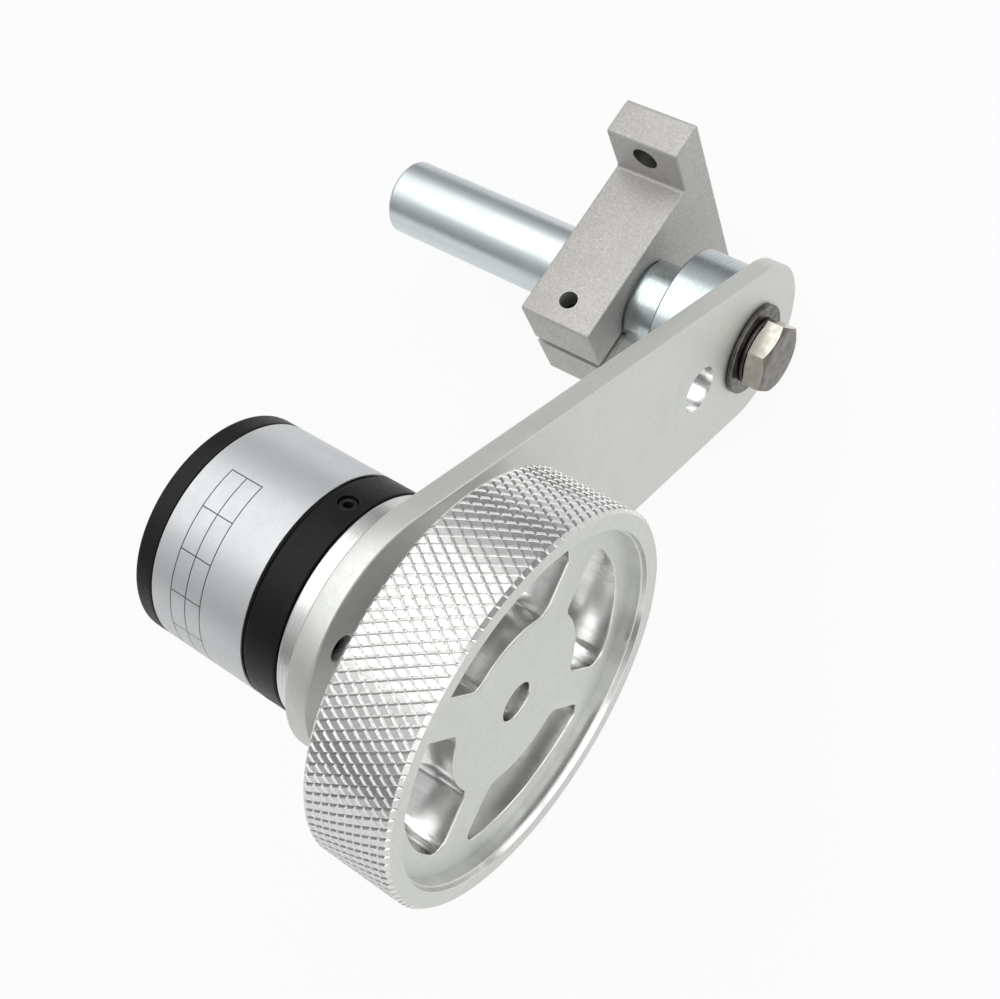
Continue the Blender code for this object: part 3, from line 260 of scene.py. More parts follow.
    def _drawn(self) -> bpy.types.NodeTree:
        """Streaks along Y: noise over a position squeezed forty times along Y.

        Returns:
            The node group.
        """
        group, start, end = self._start("drawn streaks", {"Scale": 900.0})
        squeezed = self._vector(group, "MULTIPLY", start.outputs["Position"], (1.0, 0.025, 1.0))
        streak = self._noise(group, squeezed.outputs[0], start.outputs["Scale"], 4.0, 0.6)
        group.links.new(streak, end.inputs["Mask"])
        return group

    def _cast(self) -> bpy.types.NodeTree:
        """Cast skin: noise of grains, pitted by the cell centres of a Voronoi pattern.

        Returns:
            The node group.
        """
        group, start, end = self._start("cast skin", {"Scale": 900.0})
        grain = self._noise(group, start.outputs["Position"], start.outputs["Scale"], 5.0, 0.62)
        cells = group.nodes.new("ShaderNodeTexVoronoi")
        group.links.new(start.outputs["Position"], cells.inputs["Vector"])
        group.links.new(start.outputs["Scale"], cells.inputs["Scale"])
        pit = self._maths(group, "SMOOTH_MIN", cells.outputs["Distance"], 0.45, 0.2)
        mixed = self._maths(group, "MULTIPLY_ADD", pit, 0.5, self._maths(group, "MULTIPLY", grain, 0.7))
        group.links.new(mixed, end.inputs["Mask"])
        return group

    def _mottled(self) -> bpy.types.NodeTree:
        """Plating mottle: noise warped by a wider noise.

        Returns:
            The node group.
        """
        group, start, end = self._start("plating mottle", {"Scale": 700.0})
        wide = group.nodes.new("ShaderNodeTexNoise")
        wide.inputs["Scale"].default_value = 300.0
        group.links.new(start.outputs["Position"], wide.inputs["Vector"])
        shift = self._vector(group, "SCALE", wide.outputs["Color"], None)
        shift.inputs["Scale"].default_value = 0.0015
        place = self._vector(group, "ADD", start.outputs["Position"], shift.outputs[0])
        mottle = self._noise(group, place.outputs[0], start.outputs["Scale"], 4.0, 0.6)
        group.links.new(mottle, end.inputs["Mask"])
        return group

    def _smudges(self) -> bpy.types.NodeTree:
        """Handling marks: wide soft noise, kept only above its middle.

        Returns:
            The node group.
        """
        group, start, end = self._start("handling marks", {"Scale": 90.0})
        noise = self._noise(group, start.outputs["Position"], start.outputs["Scale"], 3.0, 0.6)
        spread = group.nodes.new("ShaderNodeMapRange")
        spread.interpolation_type = "SMOOTHSTEP"
        spread.inputs["From Min"].default_value = 0.45
        spread.inputs["From Max"].default_value = 0.75
        group.links.new(noise, spread.inputs["Value"])
        group.links.new(spread.outputs["Result"], end.inputs["Mask"])
        return group

    def _worn_edges(self) -> bpy.types.NodeTree:
        """Worn edges: how far a rounded normal leans from the true one, broken up by noise.

        Returns:
            The node group.
        """
        group, start, end = self._start("worn edges", {"Scale": 900.0})
        rounded = group.nodes.new("ShaderNodeBevel")
        rounded.samples = 4
        rounded.inputs["Radius"].default_value = 0.35 * MM
        true = group.nodes.new("ShaderNodeNewGeometry")
        lean = self._vector(group, "DOT_PRODUCT", rounded.outputs["Normal"], true.outputs["Normal"])
        edge = self._maths(group, "SUBTRACT", 1.0, lean.outputs["Value"])
        noise = self._noise(group, start.outputs["Position"], start.outputs["Scale"], 3.0)
        broken = self._maths(group, "MULTIPLY", edge, self._maths(group, "MULTIPLY", noise, 6.0))
        node = group.nodes.new("ShaderNodeClamp")
        group.links.new(broken, node.inputs["Value"])
        group.links.new(node.outputs["Result"], end.inputs["Mask"])
        return group


# Finishes.


@dataclass(frozen=True)
class Finish:
    """One surface finish: its colours, its gloss and how its pattern varies them."""

    name: str
    slot: str
    colour: tuple[float, float, float]
    shade: tuple[float, float, float]
    metallic: float
    roughness: float
    spread: float
    pattern: Pattern
    scale: float
    tone: float
    bump: float
    smudge: float = 0.25
    wear: float = 0.0
    wear_colour: tuple[float, float, float] = (0.7, 0.7, 0.7)
    centre: tuple[float, float, float] = (0.0, 0.0, 0.0)
    specular: float = 0.5


def centre_of(axis: np.ndarray) -> tuple[float, float, float]:
    """Return an axis place as a tuple for a finish."""
    return tuple(float(value) for value in axis)


WHEEL_CENTRE = centre_of(WHEEL_AXIS)
PIVOT_CENTRE = centre_of(PIVOT)

BLASTED_FACE = Finish(
    "blasted aluminium face", "machined_aluminium", (0.66, 0.675, 0.64), (0.56, 0.57, 0.54), 0.85, 0.50, 0.14,
    Pattern.BLASTED, 3200.0, 0.5, 0.10, smudge=0.18,
)
TURNED_WALL = Finish(
    "bright turned wall", "machined_aluminium", (0.78, 0.785, 0.775), (0.46, 0.46, 0.45), 1.0, 0.20, 0.10,
    Pattern.DRAWN, 420.0, 0.35, 0.05, smudge=0.10,
)
KNURLED_BAND = Finish(
    "knurled aluminium", "machined_aluminium", (0.73, 0.73, 0.72), (0.46, 0.46, 0.45), 1.0, 0.24, 0.16,
    Pattern.MOTTLED, 1500.0, 0.4, 0.05, smudge=0.12,
)
ADAPTER_RING = Finish(
    "turned aluminium ring", "machined_aluminium", (0.72, 0.72, 0.705), (0.46, 0.46, 0.45), 1.0, 0.30, 0.16,
    Pattern.TURNED, 5200.0, 0.45, 0.08, smudge=0.12, centre=WHEEL_CENTRE,
)
ARM_FACE = Finish(
    "satin anodised plate", "anodised_aluminium", (0.66, 0.67, 0.64), (0.57, 0.58, 0.555), 0.80, 0.46, 0.12,
    Pattern.BLASTED, 2600.0, 0.5, 0.08, smudge=0.22, wear=0.25, wear_colour=(0.78, 0.78, 0.76),
)
CAST_SKIN = Finish(
    "cast aluminium", "cast_aluminium", (0.57, 0.56, 0.535), (0.36, 0.35, 0.33), 0.45, 0.48, 0.18,
    Pattern.CAST, 1900.0, 0.75, 0.26, smudge=0.45, wear=0.6, wear_colour=(0.76, 0.75, 0.73),
)
# Hole walls: the block's aluminium painted much darker than its cast skin, as painted shade inside the holes.
HOLE_WALL_PAINTED_SHADE = Finish(
    "hole wall, painted shade", "cast_aluminium", (0.30, 0.295, 0.285), (0.13, 0.128, 0.124), 0.9, 0.32, 0.14,
    Pattern.TURNED, 4200.0, 0.6, 0.10, centre=PIVOT_CENTRE,
)
ZINC = Finish(
    "bright zinc", "zinc_plate", (0.52, 0.575, 0.585), (0.36, 0.40, 0.41), 1.0, 0.24, 0.12,
    Pattern.TURNED, 2600.0, 0.45, 0.05, smudge=0.35, centre=PIVOT_CENTRE,
)
ZINC_ROD = Finish(
    "bright zinc bar", "zinc_plate", (0.64, 0.69, 0.70), (0.50, 0.54, 0.55), 1.0, 0.34, 0.10,
    Pattern.DRAWN, 800.0, 0.4, 0.05, smudge=0.25, centre=PIVOT_CENTRE,
)
NICKEL = Finish(
    "warm nickel", "nickel_plate", (0.56, 0.54, 0.48), (0.34, 0.325, 0.28), 1.0, 0.20, 0.14,
    Pattern.MOTTLED, 700.0, 0.6, 0.06, smudge=0.35, wear=0.5, wear_colour=(0.80, 0.78, 0.74),
)
# The bolt's faces that look along its axis: the same nickel painted much darker than its sides, as painted
# shade.
NICKEL_FACE_PAINTED_SHADE = Finish(
    "nickel face, painted shade", "nickel_plate", (0.215, 0.205, 0.185), (0.12, 0.11, 0.095), 1.0, 0.34, 0.16,
    Pattern.MOTTLED, 420.0, 0.8, 0.06, smudge=0.6, wear=0.5, wear_colour=(0.50, 0.48, 0.44),
)
STAINED_NICKEL = Finish(
    "stained nickel", "nickel_plate", (0.16, 0.15, 0.138), (0.055, 0.048, 0.042), 1.0, 0.30, 0.22,
    Pattern.MOTTLED, 900.0, 0.9, 0.10, smudge=0.4, wear=0.5, wear_colour=(0.50, 0.46, 0.40),
)
DARK_STEEL = Finish(
    "blackened steel", "dark_steel", (0.15, 0.145, 0.14), (0.04, 0.038, 0.036), 1.0, 0.36, 0.20,
    Pattern.MOTTLED, 1800.0, 0.7, 0.12, smudge=0.3, wear=0.5, wear_colour=(0.42, 0.41, 0.40),
)
SPRING_STEEL = Finish(
    "oiled spring wire", "spring_steel", (0.24, 0.24, 0.25), (0.10, 0.10, 0.10), 1.0, 0.3, 0.16,
    Pattern.MOTTLED, 1800.0, 0.6, 0.08,
)
GROUND_STEEL = Finish(
    "ground steel", "bearing_steel", (0.62, 0.62, 0.61), (0.38, 0.38, 0.38), 1.0, 0.22, 0.14,
    Pattern.TURNED, 5000.0, 0.5, 0.06, centre=WHEEL_CENTRE,
)
BRONZE = Finish(
    "sintered bronze", "bronze", (0.56, 0.37, 0.18), (0.30, 0.19, 0.09), 1.0, 0.42, 0.18,
    Pattern.CAST, 2600.0, 0.6, 0.12, centre=PIVOT_CENTRE,
)
BLACK_ANODISE = Finish(
    "black anodised", "black_anodise", (0.008, 0.008, 0.0085), (0.004, 0.004, 0.0045), 0.0, 0.42, 0.16,
    Pattern.BLASTED, 3000.0, 0.7, 0.08, smudge=0.25, wear=0.30, wear_colour=(0.14, 0.14, 0.14), specular=0.16,
)
BLACK_PLASTIC = Finish(
    "black moulded plastic", "black_plastic", (0.009, 0.009, 0.0095), (0.005, 0.005, 0.0055), 0.0, 0.46, 0.14,
    Pattern.MOULDED, 1700.0, 0.6, 0.16, smudge=0.25, wear=0.18, wear_colour=(0.06, 0.06, 0.06), specular=0.20,
)
BLACKENED_SCREW = Finish(
    "blackened socket screw", "dark_steel", (0.030, 0.030, 0.031), (0.010, 0.010, 0.010), 0.6, 0.40, 0.20,
    Pattern.MOTTLED, 1800.0, 0.7, 0.10, smudge=0.3, wear=0.3, wear_colour=(0.12, 0.12, 0.12), specular=0.2,
)
DISC_FILM = Finish(
    "clear disc", "disc_film", (0.30, 0.33, 0.36), (0.20, 0.22, 0.25), 0.0, 0.12, 0.08,
    Pattern.TURNED, 9000.0, 0.6, 0.02, centre=WHEEL_CENTRE,
)
BOARD = Finish(
    "circuit board", "circuit_board", (0.03, 0.16, 0.07), (0.015, 0.09, 0.04), 0.0, 0.42, 0.12,
    Pattern.MOTTLED, 1200.0, 0.6, 0.05,
)


class Finisher:
    """Makes a material for each finish, once."""

    def __init__(self, groups: Groups) -> None:
        """Keep the node groups and start with no materials."""
        self.groups = groups
        self.made: dict[str, bpy.types.Material] = {}

    def material(self, finish: Finish) -> bpy.types.Material:
        """Return the material of a finish, made on first use.

        Args:
            finish: The finish wanted.

        Returns:
            Its material.
        """
        if finish.name not in self.made:
            self.made[finish.name] = self._make(finish)
        return self.made[finish.name]

    def _place(
        self, tree: bpy.types.NodeTree, group: bpy.types.NodeTree, position: Socket, **values: float | tuple,
    ) -> Socket:
        """Place a node group in a material and return its Mask.

        Args:
            tree: The material's node tree.
            group: The node group.
            position: Socket with the object coordinates.
            **values: Values of the group's inputs.

        Returns:
            The Mask socket.
        """
        node = tree.nodes.new("ShaderNodeGroup")
        node.node_tree = group
        tree.links.new(position, node.inputs["Position"])
        for label, value in values.items():
            node.inputs[label].default_value = value
        return node.outputs["Mask"]

    def _pattern(self, tree: bpy.types.NodeTree, finish: Finish, position: Socket) -> Socket:
        """Place the group that a finish's pattern names.

        Args:
            tree: The material's node tree.
            finish: The finish.
            position: Socket with the object coordinates.

        Returns:
            The pattern's mask.
        """
        groups = self.groups
        if finish.pattern is Pattern.TURNED:
            return self._place(tree, groups.turned, position, Scale=finish.scale, Centre=finish.centre)
        chosen = {
            Pattern.BLASTED: groups.blasted,
            Pattern.DRAWN: groups.drawn,
            Pattern.CAST: groups.cast,
            Pattern.MOTTLED: groups.mottled,
            Pattern.MOULDED: groups.blasted,
        }[finish.pattern]
        return self._place(tree, chosen, position, Scale=finish.scale)

    @staticmethod
    def _mix(tree: bpy.types.NodeTree, factor: Socket, first: Socket | tuple, second: tuple) -> Socket:
        """Mix two colours by a factor socket.

        Args:
            tree: The material's node tree.
            factor: Socket with the share of the second colour.
            first: First colour, a socket or a tuple.
            second: Second colour, a tuple.

        Returns:
            The mixed colour socket.
        """
        node = tree.nodes.new("ShaderNodeMix")
        node.data_type = "RGBA"
        tree.links.new(factor, node.inputs["Factor"])
        if isinstance(first, tuple):
            node.inputs["A"].default_value = (*first, 1.0)
        else:
            tree.links.new(first, node.inputs["A"])
        node.inputs["B"].default_value = (*second, 1.0)
        return node.outputs["Result"]

    @staticmethod
    def _range(
        tree: bpy.types.NodeTree, value: Socket, low: float, high: float, out_low: float, out_high: float,
    ) -> Socket:
        """Map a value from one range to another and return the result.

        Args:
            tree: The material's node tree.
            value: Socket to map.
            low: Value that gives out_low.
            high: Value that gives out_high.
            out_low: Result at low.
            out_high: Result at high.

        Returns:
            The result socket.
        """
        node = tree.nodes.new("ShaderNodeMapRange")
        tree.links.new(value, node.inputs["Value"])
        labels = ("From Min", "From Max", "To Min", "To Max")
        for label, number in zip(labels, (low, high, out_low, out_high)):
            node.inputs[label].default_value = number
        return node.outputs["Result"]

    def _make(self, finish: Finish) -> bpy.types.Material:
        """Build one material: pattern and handling marks vary its colour, roughness and bump.

        Args:
            finish: The finish wanted.

        Returns:
            The material.
        """
        material = bpy.data.materials.new(finish.name)
        material.use_nodes = True
        tree = material.node_tree
        shader = tree.nodes["Principled BSDF"]
        position = tree.nodes.new("ShaderNodeTexCoord").outputs["Object"]
        pattern = self._pattern(tree, finish, position)
        smudges = self._place(tree, self.groups.smudges, position)
        tone = self._range(tree, pattern, 0.35, 0.70, 0.0, finish.tone)
        colour = self._mix(tree, tone, finish.colour, finish.shade)
        darkened = tuple(0.5 * (a + b) for a, b in zip(finish.colour, finish.shade))
        colour = self._mix(tree, self._range(tree, smudges, 0.0, 1.0, 0.0, finish.smudge), colour, darkened)
        if finish.wear:
            worn = self._place(tree, self.groups.worn_edges, position)
            worn = self._range(tree, worn, 0.0, 1.0, 0.0, finish.wear)
            colour = self._mix(tree, worn, colour, finish.wear_colour)
        tree.links.new(colour, shader.inputs["Base Color"])
        low = finish.roughness - finish.spread / 2
        rough = self._range(tree, pattern, 0.3, 0.7, low, low + finish.spread)
        lift = self._range(tree, smudges, 0.0, 1.0, 0.0, 0.08)
        total = tree.nodes.new("ShaderNodeMath")
        total.operation = "ADD"
        tree.links.new(rough, total.inputs[0])
        tree.links.new(lift, total.inputs[1])
        tree.links.new(total.outputs[0], shader.inputs["Roughness"])
        relief = tree.nodes.new("ShaderNodeBump")
        relief.inputs["Strength"].default_value = finish.bump
        relief.inputs["Distance"].default_value = 0.2 * MM
        tree.links.new(pattern, relief.inputs["Height"])
        tree.links.new(relief.outputs["Normal"], shader.inputs["Normal"])
        shader.inputs["Metallic"].default_value = finish.metallic
        shader.inputs["Specular IOR Level"].default_value = finish.specular
        return material


# Surfaces.


def soften(profile: Profile, radius: float, steps: int = 4, closed: bool = True) -> np.ndarray:
    """Round every corner of a profile.

    Each corner point P becomes a quadratic curve from A to B, where A and B lie on its two
    edges at the radius from P, or at 0.4 of the edge where that is shorter. One more point at
    1.1 times that distance stands before and after it, so that flat stretches shade flat.

    Args:
        profile: Corner points (radius, height).
        radius: Reach of the rounding along each edge.
        steps: Points on each curve, less one.
        closed: Whether the last point joins the first.

    Returns:
        The rounded points, one per row.
    """
    points = np.array(profile, float)
    before, after = np.roll(points, 1, axis=0), np.roll(points, -1, axis=0)
    back, ahead = before - points, after - points
    back_length = np.linalg.norm(back, axis=1, keepdims=True)
    ahead_length = np.linalg.norm(ahead, axis=1, keepdims=True)
    reach_back = np.minimum(radius, 0.4 * back_length)
    reach_ahead = np.minimum(radius, 0.4 * ahead_length)
    back, ahead = back / back_length, ahead / ahead_length
    first, last = points + back * reach_back, points + ahead * reach_ahead
    t = np.linspace(0.0, 1.0, steps + 1)[None, :, None]
    curve = (1 - t) ** 2 * first[:, None] + 2 * t * (1 - t) * points[:, None] + t ** 2 * last[:, None]
    lead = (points + back * reach_back * 1.1)[:, None]
    trail = (points + ahead * reach_ahead * 1.1)[:, None]
    rounded = np.concatenate((lead, curve, trail), axis=1)
    if closed:
        return rounded.reshape(-1, 2)
    return np.concatenate((points[:1], rounded[1:-1].reshape(-1, 2), points[-1:]))


def ring_grid(radii: np.ndarray, heights: np.ndarray, angles: np.ndarray, closed: bool) -> tuple:
    """Return the vertices and faces of rings stacked along a local Z axis.

    Vertex (i, j) is (r cos a, r sin a, h) with r = radii[i, j], a = angles[j], h = heights[i, j].

    Args:
        radii: Radius of each vertex, rings by columns.
        heights: Height of each vertex, rings by columns.
        angles: Angle of each column, one full turn.
        closed: Whether the last ring joins the first; otherwise both ends get a middle point.

    Returns:
        Vertex array and list of faces.
    """
    rings, columns = radii.shape
    x, y = radii * np.cos(angles), radii * np.sin(angles)
    points = np.stack((x, y, heights), axis=-1).reshape(-1, 3)
    row = np.arange(rings if closed else rings - 1)[:, None]
    column = np.arange(columns)[None, :]
    following, beside = (row + 1) % rings, (column + 1) % columns
    quads = np.stack((
        row * columns + column, row * columns + beside,
        following * columns + beside, following * columns + column,
    ), axis=-1).reshape(-1, 4)
    faces = quads.tolist()
    if not closed:
        ends = np.array([[0.0, 0.0, heights[0].mean()], [0.0, 0.0, heights[-1].mean()]])
        low, high = len(points), len(points) + 1
        points = np.concatenate((points, ends))
        loop = np.arange(columns)
        turned = (loop + 1) % columns
        last = (rings - 1) * columns
        faces += np.stack((turned, loop, np.full(columns, low)), axis=-1).tolist()
        faces += np.stack((last + loop, last + turned, np.full(columns, high)), axis=-1).tolist()
    return points, faces


def along_y(points: np.ndarray, axis: np.ndarray) -> np.ndarray:
    """Lay local points so that their Z runs along world Y through an axis place."""
    return np.stack((points[:, 0] + axis[0], points[:, 2] + axis[1], points[:, 1] + axis[2]), axis=-1)


def along(points: np.ndarray, origin: np.ndarray, direction: np.ndarray) -> np.ndarray:
    """Lay local points so that their Z runs from an origin along a direction.

    Args:
        points: Local points.
        origin: Place of the local origin.
        direction: Direction of the local Z axis.

    Returns:
        The placed points.
    """
    turn = np.array(Vector(direction).to_track_quat("Z", "Y").to_matrix())
    return points @ turn.T + origin


def signed_volume(points: np.ndarray, faces: list) -> float:
    """Return six times the volume inside closed faces, below zero where they point inwards."""
    fans = [(f[0], f[k], f[k + 1]) for f in faces for k in range(1, len(f) - 1)]
    a, b, c = (points[np.array(fans)[:, k]] for k in range(3))
    return float(np.einsum("ij,ij->i", a, np.cross(b, c)).sum())


@dataclass
class Shell:
    """Points and faces of one closed surface, and the material number of each face."""

    points: np.ndarray
    faces: list
    slots: np.ndarray | None = None

    def outward(self) -> "Shell":
        """Turn the faces round where they point inwards."""
        if signed_volume(self.points, self.faces) < 0:
            self.faces = [face[::-1] for face in self.faces]
        return self


class Workshop:
    """Turns shells and outlines into finished pieces that ride on their body."""

    def __init__(self, finisher: Finisher) -> None:
        """Keep the finisher."""
        self.finisher = finisher

    def piece(
        self,
        name: str,
        shells: list[Shell],
        finishes: list[Finish],
        body: Body,
        nodes: tuple[str, ...] = (),
        crease: float = 34.0,
        smooth: bool = True,
    ) -> bpy.types.Object:
        """Join shells into one piece.

        Args:
            name: Name of the piece.
            shells: Closed surfaces.
            finishes: Finishes, in the order of the shells' material numbers.
            body: CAD body that the piece rides on.
            nodes: CAD nodes that it stands for.
            crease: Angle in degrees above which an edge stays sharp.
            smooth: Whether faces shade smooth.

        Returns:
            The new object.
        """
        points, faces, slots, offset = [], [], [], 0
        for shell in shells:
            shell.outward()
            points.append(shell.points)
            faces += [[index + offset for index in face] for face in shell.faces]
            slots.append(np.zeros(len(shell.faces), int) if shell.slots is None else shell.slots)
            offset += len(shell.points)
        mesh = bpy.data.meshes.new(name)
        mesh.from_pydata(np.concatenate(points).tolist(), [], faces)
        for finish in finishes:
            mesh.materials.append(self.finisher.material(finish))
        mesh.polygons.foreach_set("material_index", np.concatenate(slots))
        mesh.polygons.foreach_set("use_smooth", np.full(len(faces), smooth))
        if smooth:
            mesh.set_sharp_from_angle(angle=math.radians(crease))
        mesh.update()
        return self.settle(bpy.data.objects.new(name, mesh), body, nodes)

    def settle(
        self, item: bpy.types.Object, body: Body, nodes: tuple[str, ...],
    ) -> bpy.types.Object:
        """Link an object, let it ride on its body and hide the CAD nodes that it stands for.

        Args:
            item: The object.
            body: CAD body that it rides on.
            nodes: CAD nodes that it stands for.

        Returns:
            The same object.
        """
        if not item.users_collection:
            bpy.context.scene.collection.objects.link(item)
        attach(item, body.value)
        if nodes:
            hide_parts(*nodes)
        LOG.info("%s: %d faces", item.name, len(item.data.polygons))
        return item

    def lathe(self, profile: Profile, axis: np.ndarray, rounding: float, columns: int = 192) -> Shell:
        """Return a turned shell round an axis along Y.

        Args:
            profile: Corner points (radius, y); it closes on itself where no radius is zero.
            axis: Place of the axis.
            rounding: Reach of the corner rounding.
            columns: Facets round the axis.

        Returns:
            The shell.
        """
        points, faces = turned(profile, rounding, columns)
        return Shell(along_y(points, axis), faces)

    def carve(
        self, item: bpy.types.Object, cutters: list[Shell], inside: Finish, crease: float = 34.0,
    ) -> None:
        """Cut shells out of a piece by exact Booleans, applied at once.

        Args:
            item: The piece.
            cutters: Closed surfaces to take away.
            inside: Finish of the faces that the cuts leave.
            crease: Angle in degrees above which an edge stays sharp.
        """
        for shell in cutters:
            shell.outward()
            mesh = bpy.data.meshes.new("cutter")
            mesh.from_pydata(shell.points.tolist(), [], shell.faces)
            mesh.materials.append(self.finisher.material(inside))
            cutter = bpy.data.objects.new("cutter", mesh)
            bpy.context.scene.collection.objects.link(cutter)
            step = item.modifiers.new("cut", "BOOLEAN")
            step.solver = "EXACT"
            step.material_mode = "TRANSFER"
            step.object = cutter
            graph = bpy.context.evaluated_depsgraph_get()
            result = bpy.data.meshes.new_from_object(item.evaluated_get(graph))
            item.modifiers.clear()
            item.data = result
            bpy.data.objects.remove(cutter)
        item.data.polygons.foreach_set("use_smooth", np.ones(len(item.data.polygons), bool))
        item.data.set_sharp_from_angle(angle=math.radians(crease))


def turned(profile: Profile, rounding: float, columns: int) -> tuple:
    """Return local points and faces of a turned shell with rounded corners.

    Args:
        profile: Corner points (radius, height).
        rounding: Reach of the corner rounding.
        columns: Facets round the axis.

    Returns:
        The points and the faces.
    """
    closed = all(radius > 0 for radius, _ in profile)
    points = soften(profile, rounding) if closed else soften(profile, rounding, closed=False)[1:-1]
    angles = np.arange(columns) * TURN / columns
    ones = np.ones(columns)
    return ring_grid(points[:, :1] * ones, points[:, 1:] * ones, angles, closed)


def drill(start: np.ndarray, end: np.ndarray, radius: float, columns: int = 48) -> Shell:
    """Return a plain round cutter between two points.

    Args:
        start: Middle of the first end.
        end: Middle of the other end.
        radius: Radius of the hole.
        columns: Facets round the axis.

    Returns:
        The cutter.
    """
    run = end - start
    length = float(np.linalg.norm(run))
    angles = np.arange(columns) * TURN / columns
    radii = np.full((2, columns), radius)
    heights = np.array([[0.0], [length]]) * np.ones(columns)
    points, faces = ring_grid(radii, heights, angles, closed=False)
    return Shell(along(points, start, run), faces)


def tapped(start: np.ndarray, end: np.ndarray, radius: float, pitch: float, columns: int = 48) -> Shell:
    """Return a cutter with thread rings: its radius steps out by a third of the pitch every half pitch.

    Args:
        start: Middle of the first end.
        end: Middle of the other end.
        radius: Radius at the thread's crests.
        pitch: Distance from ring to ring.
        columns: Facets round the hole.

    Returns:
        The cutter.
    """
    run = end - start
    length = float(np.linalg.norm(run))
    count = 2 * round(length / pitch)
    ones = np.ones(columns)
    radii = radius + (np.arange(count + 1) % 2)[:, None] * pitch / 3 * ones
    heights = np.linspace(0.0, length, count + 1)[:, None] * ones
    points, faces = ring_grid(radii, heights, np.arange(columns) * TURN / columns, closed=False)
    return Shell(along(points, start, run), faces)


def hexagon(angles: np.ndarray, across_flats: float) -> np.ndarray:
    """Return a hexagon's radius at each angle: the half width over the cosine from the flat's middle."""
    lean = (angles + math.pi / 6) % (math.pi / 3) - math.pi / 6
    return across_flats / 2 / np.cos(lean)


def sharpen_caps(mesh: bpy.types.Mesh, axis: int) -> None:
    """Keep the border of a plate's flat faces sharp, so that they shade flat.

    An edge is a border where exactly one of its two faces lies square to the axis.

    Args:
        mesh: The plate's mesh.
        axis: Number of the plate's thin axis.
    """
    count = len(mesh.polygons)
    normals = np.empty(count * 3, np.float32)
    mesh.polygons.foreach_get("normal", normals)
    totals = np.empty(count, int)
    mesh.polygons.foreach_get("loop_total", totals)
    edges = np.empty(len(mesh.loops), int)
    mesh.loops.foreach_get("edge_index", edges)
    flat = np.abs(normals.reshape(-1, 3)[:, axis]) > 0.9999
    touching = np.bincount(edges, weights=np.repeat(flat, totals), minlength=len(mesh.edges))
    sharp = np.empty(len(mesh.edges), bool)
    mesh.edges.foreach_get("use_edge_sharp", sharp)
    mesh.edges.foreach_set("use_edge_sharp", sharp | (touching == 1))


def arc(centre: tuple[float, float], radius: float, start: float, end: float, count: int) -> np.ndarray:
    """Return points on an arc: centre plus radius times (cos a, sin a), a evenly from start to end."""
    angles = np.linspace(start, end, count)
    return np.stack((centre[0] + radius * np.cos(angles), centre[1] + radius * np.sin(angles)), axis=-1)


def circle(centre: tuple[float, float], radius: float, count: int = 96) -> np.ndarray:
    """Return points round a full circle."""
    return arc(centre, radius, 0.0, TURN, count + 1)[:-1]


def plate(outlines: list[np.ndarray], thickness: float, bevel: float, steps: int = 3) -> tuple:
    """Fill outlines into a flat plate with rounded edges, centred on its own XY plane.

    Args:
        outlines: Closed outlines; those inside another are holes.
        thickness: Thickness of the plate.
        bevel: Radius of its edges.
        steps: Facets of the edge rounding, less one.

    Returns:
        The welded points and the faces.
    """
    curve = bpy.data.curves.new("outline", "CURVE")
    curve.dimensions = "2D"
    curve.fill_mode = "BOTH"
    curve.extrude = thickness / 2 - bevel
    curve.bevel_depth = bevel
    curve.bevel_resolution = steps
    curve.offset = -bevel
    for outline in outlines:
        spline = curve.splines.new("POLY")
        spline.points.add(len(outline) - 1)
        places = np.zeros((len(outline), 4))
        places[:, :2], places[:, 3] = outline, 1.0
        spline.points.foreach_set("co", places.ravel())
        spline.use_cyclic_u = True
    holder = bpy.data.objects.new("outline", curve)
    bpy.context.scene.collection.objects.link(holder)
    graph = bpy.context.evaluated_depsgraph_get()
    mesh = bpy.data.meshes.new_from_object(holder.evaluated_get(graph))
    bpy.data.objects.remove(holder)
    points = np.empty(len(mesh.vertices) * 3)
    mesh.vertices.foreach_get("co", points)
    totals, corners = np.empty(len(mesh.polygons), int), np.empty(len(mesh.loops), int)
    mesh.polygons.foreach_get("loop_total", totals)
    mesh.loops.foreach_get("vertex_index", corners)
    bpy.data.meshes.remove(mesh)
    places, welded = np.unique(np.round(points.reshape(-1, 3), 7), axis=0, return_inverse=True)
    corners = welded.ravel()[corners]
    faces = [group.tolist() for group in np.split(corners, np.cumsum(totals)[:-1])]
    return places, faces


# Screws, shared by the sub-assemblies.


